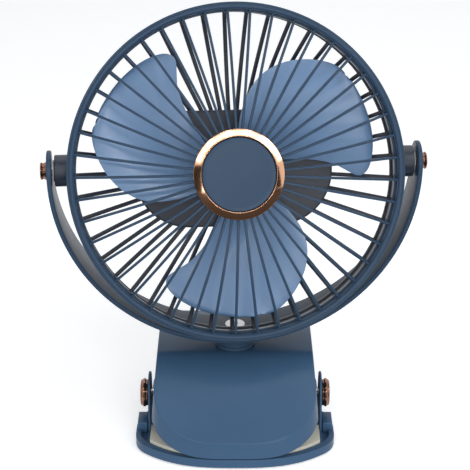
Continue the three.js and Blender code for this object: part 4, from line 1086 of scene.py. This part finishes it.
def buildUpperJaw():
    j = upperJaw
    body = fromAbove("upper_body", upperOutline(0), 0, 70)
    combine(body, fromSide("side_line", upperTopLine(0) + upperSkirtLine(), -far, far), "INTERSECT")
    inner = fromAbove("upper_hollow", upperOutline(j["wall"]), -2, 70)
    floorLine = [(j["rear"] + 1, -1), (j["lipFront"] - 1, -1)]
    combine(inner, fromSide("hollow_line", upperTopLine(j["plate"]) + floorLine, -far, far), "INTERSECT")
    combine(body, inner, "DIFFERENCE")
    shelfDeep, shelfBack = pad["upperInset"] + pad["upperBand"] + 1, j["lipFront"] + pad["upperLength"] + 1
    shelf = lipBand("shelf", j["wall"] / 2, shelfDeep, j["shelfLow"], j["shelfTop"])
    combine(shelf, addBlock("shelf_limit", (-far, -far, 0), (far, shelfBack, far)), "INTERSECT")
    combine(body, shelf, "UNION")
    tidyFaces(body)
    softenEdges(body, j["edge"], 4, isUpperEdge)
    combine(body, addRod("bolt_way", j["boltHole"], 40, 60, 40, "Z"), "DIFFERENCE")
    flare(body)
    combine(body, toHinge(addRod("pin_way", j["pinHole"], -60, 60, 32, "X")), "DIFFERENCE")
    body.name = "clipUpperJaw"
    settle(body, clipPlace, "upper_jaw", finishes["clip"], ["upper_jaw"], 30)


buildUpperJaw()
print("upper jaw done")

hingeCap = {"start": 51.4, "depth": 4.5, "radius": 8.5, "waist": 0.7, "band": 1.5, "bore": 2.3}


def buildHingeCap(side, node):
    c = hingeCap
    start, radius, bore, half = c["start"], c["radius"], c["bore"], c["band"] / 2
    end, middle, waist = start + c["depth"], start + c["depth"] / 2, radius - c["waist"]
    profile = [
        (0, middle + 0.3), (bore, middle + 0.3), (bore, start), (waist, start), (waist, middle - half - 0.2),
        (radius, middle - half + 0.2), (radius, middle + half - 0.2), (waist, middle + half + 0.3),
        (waist, end - 0.6), (waist - 0.7, end), (waist * 0.55, end - 0.4), (0, end - 0.7)]
    cap = spinProfile("hingeCap", [(r, side * a) for r, a in profile], 96, "X", False)
    soften(cap, 0.22, 2, 25)
    cap.name = "hingeCap" + node.split("_")[-1].capitalize()
    settle(toHinge(cap), clipPlace, "lower_jaw", finishes["shadedCapMetal"], [node], 35)


buildHingeCap(-1, "hinge_cap_left")
buildHingeCap(1, "hinge_cap_right")

for node in ("torsion_spring_left", "torsion_spring_right"):
    dress(frame["nodes"][node], finishes["springSteel"], 60)
print("hinge done")


def raysSeen(tree):
    path = tree.nodes.new("ShaderNodeLightPath")
    rays = [Signal(tree, path.outputs[f"Is {kind} Ray"]) for kind in ("Camera", "Glossy", "Transmission")]
    return (rays[0] + rays[1] + rays[2]).over(0, 1)


def stageMaterial():
    # pale floor that keeps the shadow, lifted to white for the camera and in reflections
    material, place = newMaterial("paleStage")
    return setShader(material, {
        "Base Color": (0.86, 0.87, 0.88, 1),
        "Roughness": 0.9,
        "Emission Color": raysSeen(material.node_tree),
        "Emission Strength": 0.42,
    })


def addStage():
    floor = addPrimitive("paleFloor", bpy.ops.mesh.primitive_plane_add, size=6)
    floor.data.transform(Matrix.Translation((0, 0, -0.0004)))
    floor.data.materials.append(stageMaterial())


# dark sheets that only reflections see, as in a studio: behind the camera, before the object and overhead
card = {"distance": 1.5, "width": 4.2, "height": 1.6}
mat = {"low": (-1.5, -1.5, 0.0002), "high": (1.5, -0.085, 0.0002)}
canopy = {"low": (-1.5, -1.7, 1.5), "high": (1.5, -0.15, 1.5)}


def cardMaterial():
    material, place = newMaterial("darkCard")
    return setShader(material, {"Base Color": (0.05, 0.045, 0.04, 1), "Roughness": 1.0})


def addCard(name, material, placement):
    piece = addPrimitive(name, bpy.ops.mesh.primitive_plane_add, size=1)
    piece.data.transform(placement)
    piece.data.materials.append(material)
    for ray in ("camera", "diffuse", "transmission", "volume_scatter", "shadow"):
        setattr(piece, "visible_" + ray, False)


def addCards():
    dark = cardMaterial()
    away = Vector((0, -1, 0))
    turn = away.to_track_quat("Z", "Y").to_matrix().to_4x4()
    size = Matrix.Diagonal((card["width"], card["height"], 1, 1))
    centre = Vector(camera["target"]) + away * card["distance"]
    addCard("darkCard", dark, Matrix.Translation(centre) @ turn @ size)
    for name, flat in (("darkMat", mat), ("darkCanopy", canopy)):
        low, high = Vector(flat["low"]), Vector(flat["high"])
        spread = Matrix.Diagonal((high.x - low.x, high.y - low.y, 1, 1))
        addCard(name, dark, Matrix.Translation((low + high) / 2) @ spread)


lamps = [
    {"name": "keyLamp", "place": (0.9, -0.8, 1.4), "length": 0.9, "width": 0.9, "power": 5},
    {"name": "frontLamp", "place": (0.45, -1.6, 0.3), "length": 0.6, "width": 0.6, "power": 8},
    {"name": "fillLamp", "place": (-0.6, -1.55, 0.3), "length": 0.6, "width": 0.6, "power": 5},
    {"name": "stripLamp", "place": (0, -1.2, 0.85), "length": 1.2, "width": 0.05, "power": 3},
    {"name": "topLamp", "place": (0.1, 0.6, 1.7), "length": 1.0, "width": 1.0, "power": 5},
]
# strips in an arch round the front, where the ring on the hub mirrors them to the camera
arch = {"turns": (-52, -26, 0, 26, 52), "distance": 0.7, "length": 0.33, "width": 0.08, "power": 0.29,
        "ringSlope": 24}
lampTarget = Vector((0, 0, 0.13))


def addLamp(name, place, target, length, width, power, along=None):
    data = bpy.data.lights.new(name, "AREA")
    data.shape = "RECTANGLE"
    data.energy, data.size, data.size_y = power, length, width
    light = bpy.data.objects.new(name, data)
    back = (place - target).normalized()
    side = (along or Vector((0, 0, 1)).cross(back)).normalized()
    side = (side - side.dot(back) * back).normalized()
    turn = Matrix((side, back.cross(side), back)).transposed()
    light.location = place
    light.rotation_mode = "QUATERNION"
    light.rotation_quaternion = turn.to_quaternion()
    bpy.context.scene.collection.objects.link(light)


def mirrorDirection(turn):
    slope, around = math.radians(arch["ringSlope"]), math.radians(turn)
    flat = math.sin(slope)
    outward = Vector((math.sin(around) * flat, -math.cos(slope), math.cos(around) * flat))
    normal = (headPlace.to_3x3() @ outward).normalized()
    return 2 * normal.dot(toCamera()) * normal - toCamera()


def addLamps():
    for lamp in lamps:
        addLamp(lamp["name"], Vector(lamp["place"]), lampTarget, lamp["length"], lamp["width"], lamp["power"])
    for i, turn in enumerate(arch["turns"]):
        place = headCentre + mirrorDirection(turn) * arch["distance"]
        along = mirrorDirection(turn + 5) - mirrorDirection(turn - 5)
        addLamp(f"archLamp{i + 1}", place, headCentre, arch["length"], arch["width"], arch["power"], along)


def addWorld():
    world = bpy.data.worlds.new("studio")
    world.use_nodes = True
    tree = world.node_tree
    tree.nodes.clear()
    start = Signal(tree)
    plain = start.make("ShaderNodeBackground", {}, {"Color": (1, 1, 1, 1), "Strength": 1.0})
    soft = start.make("ShaderNodeBackground", {}, {"Color": (0.95, 0.97, 1.0, 1), "Strength": 0.38})
    mixed = start.make("ShaderNodeMixShader", {}, {0: raysSeen(tree), 1: soft, 2: plain})
    output = tree.nodes.new("ShaderNodeOutputWorld")
    tree.links.new(mixed.socket, output.inputs["Surface"])
    bpy.context.scene.world = world


addStage()
addCards()
addLamps()
addWorld()
bpy.context.scene.view_settings.view_transform = "Standard"
print("stage done")
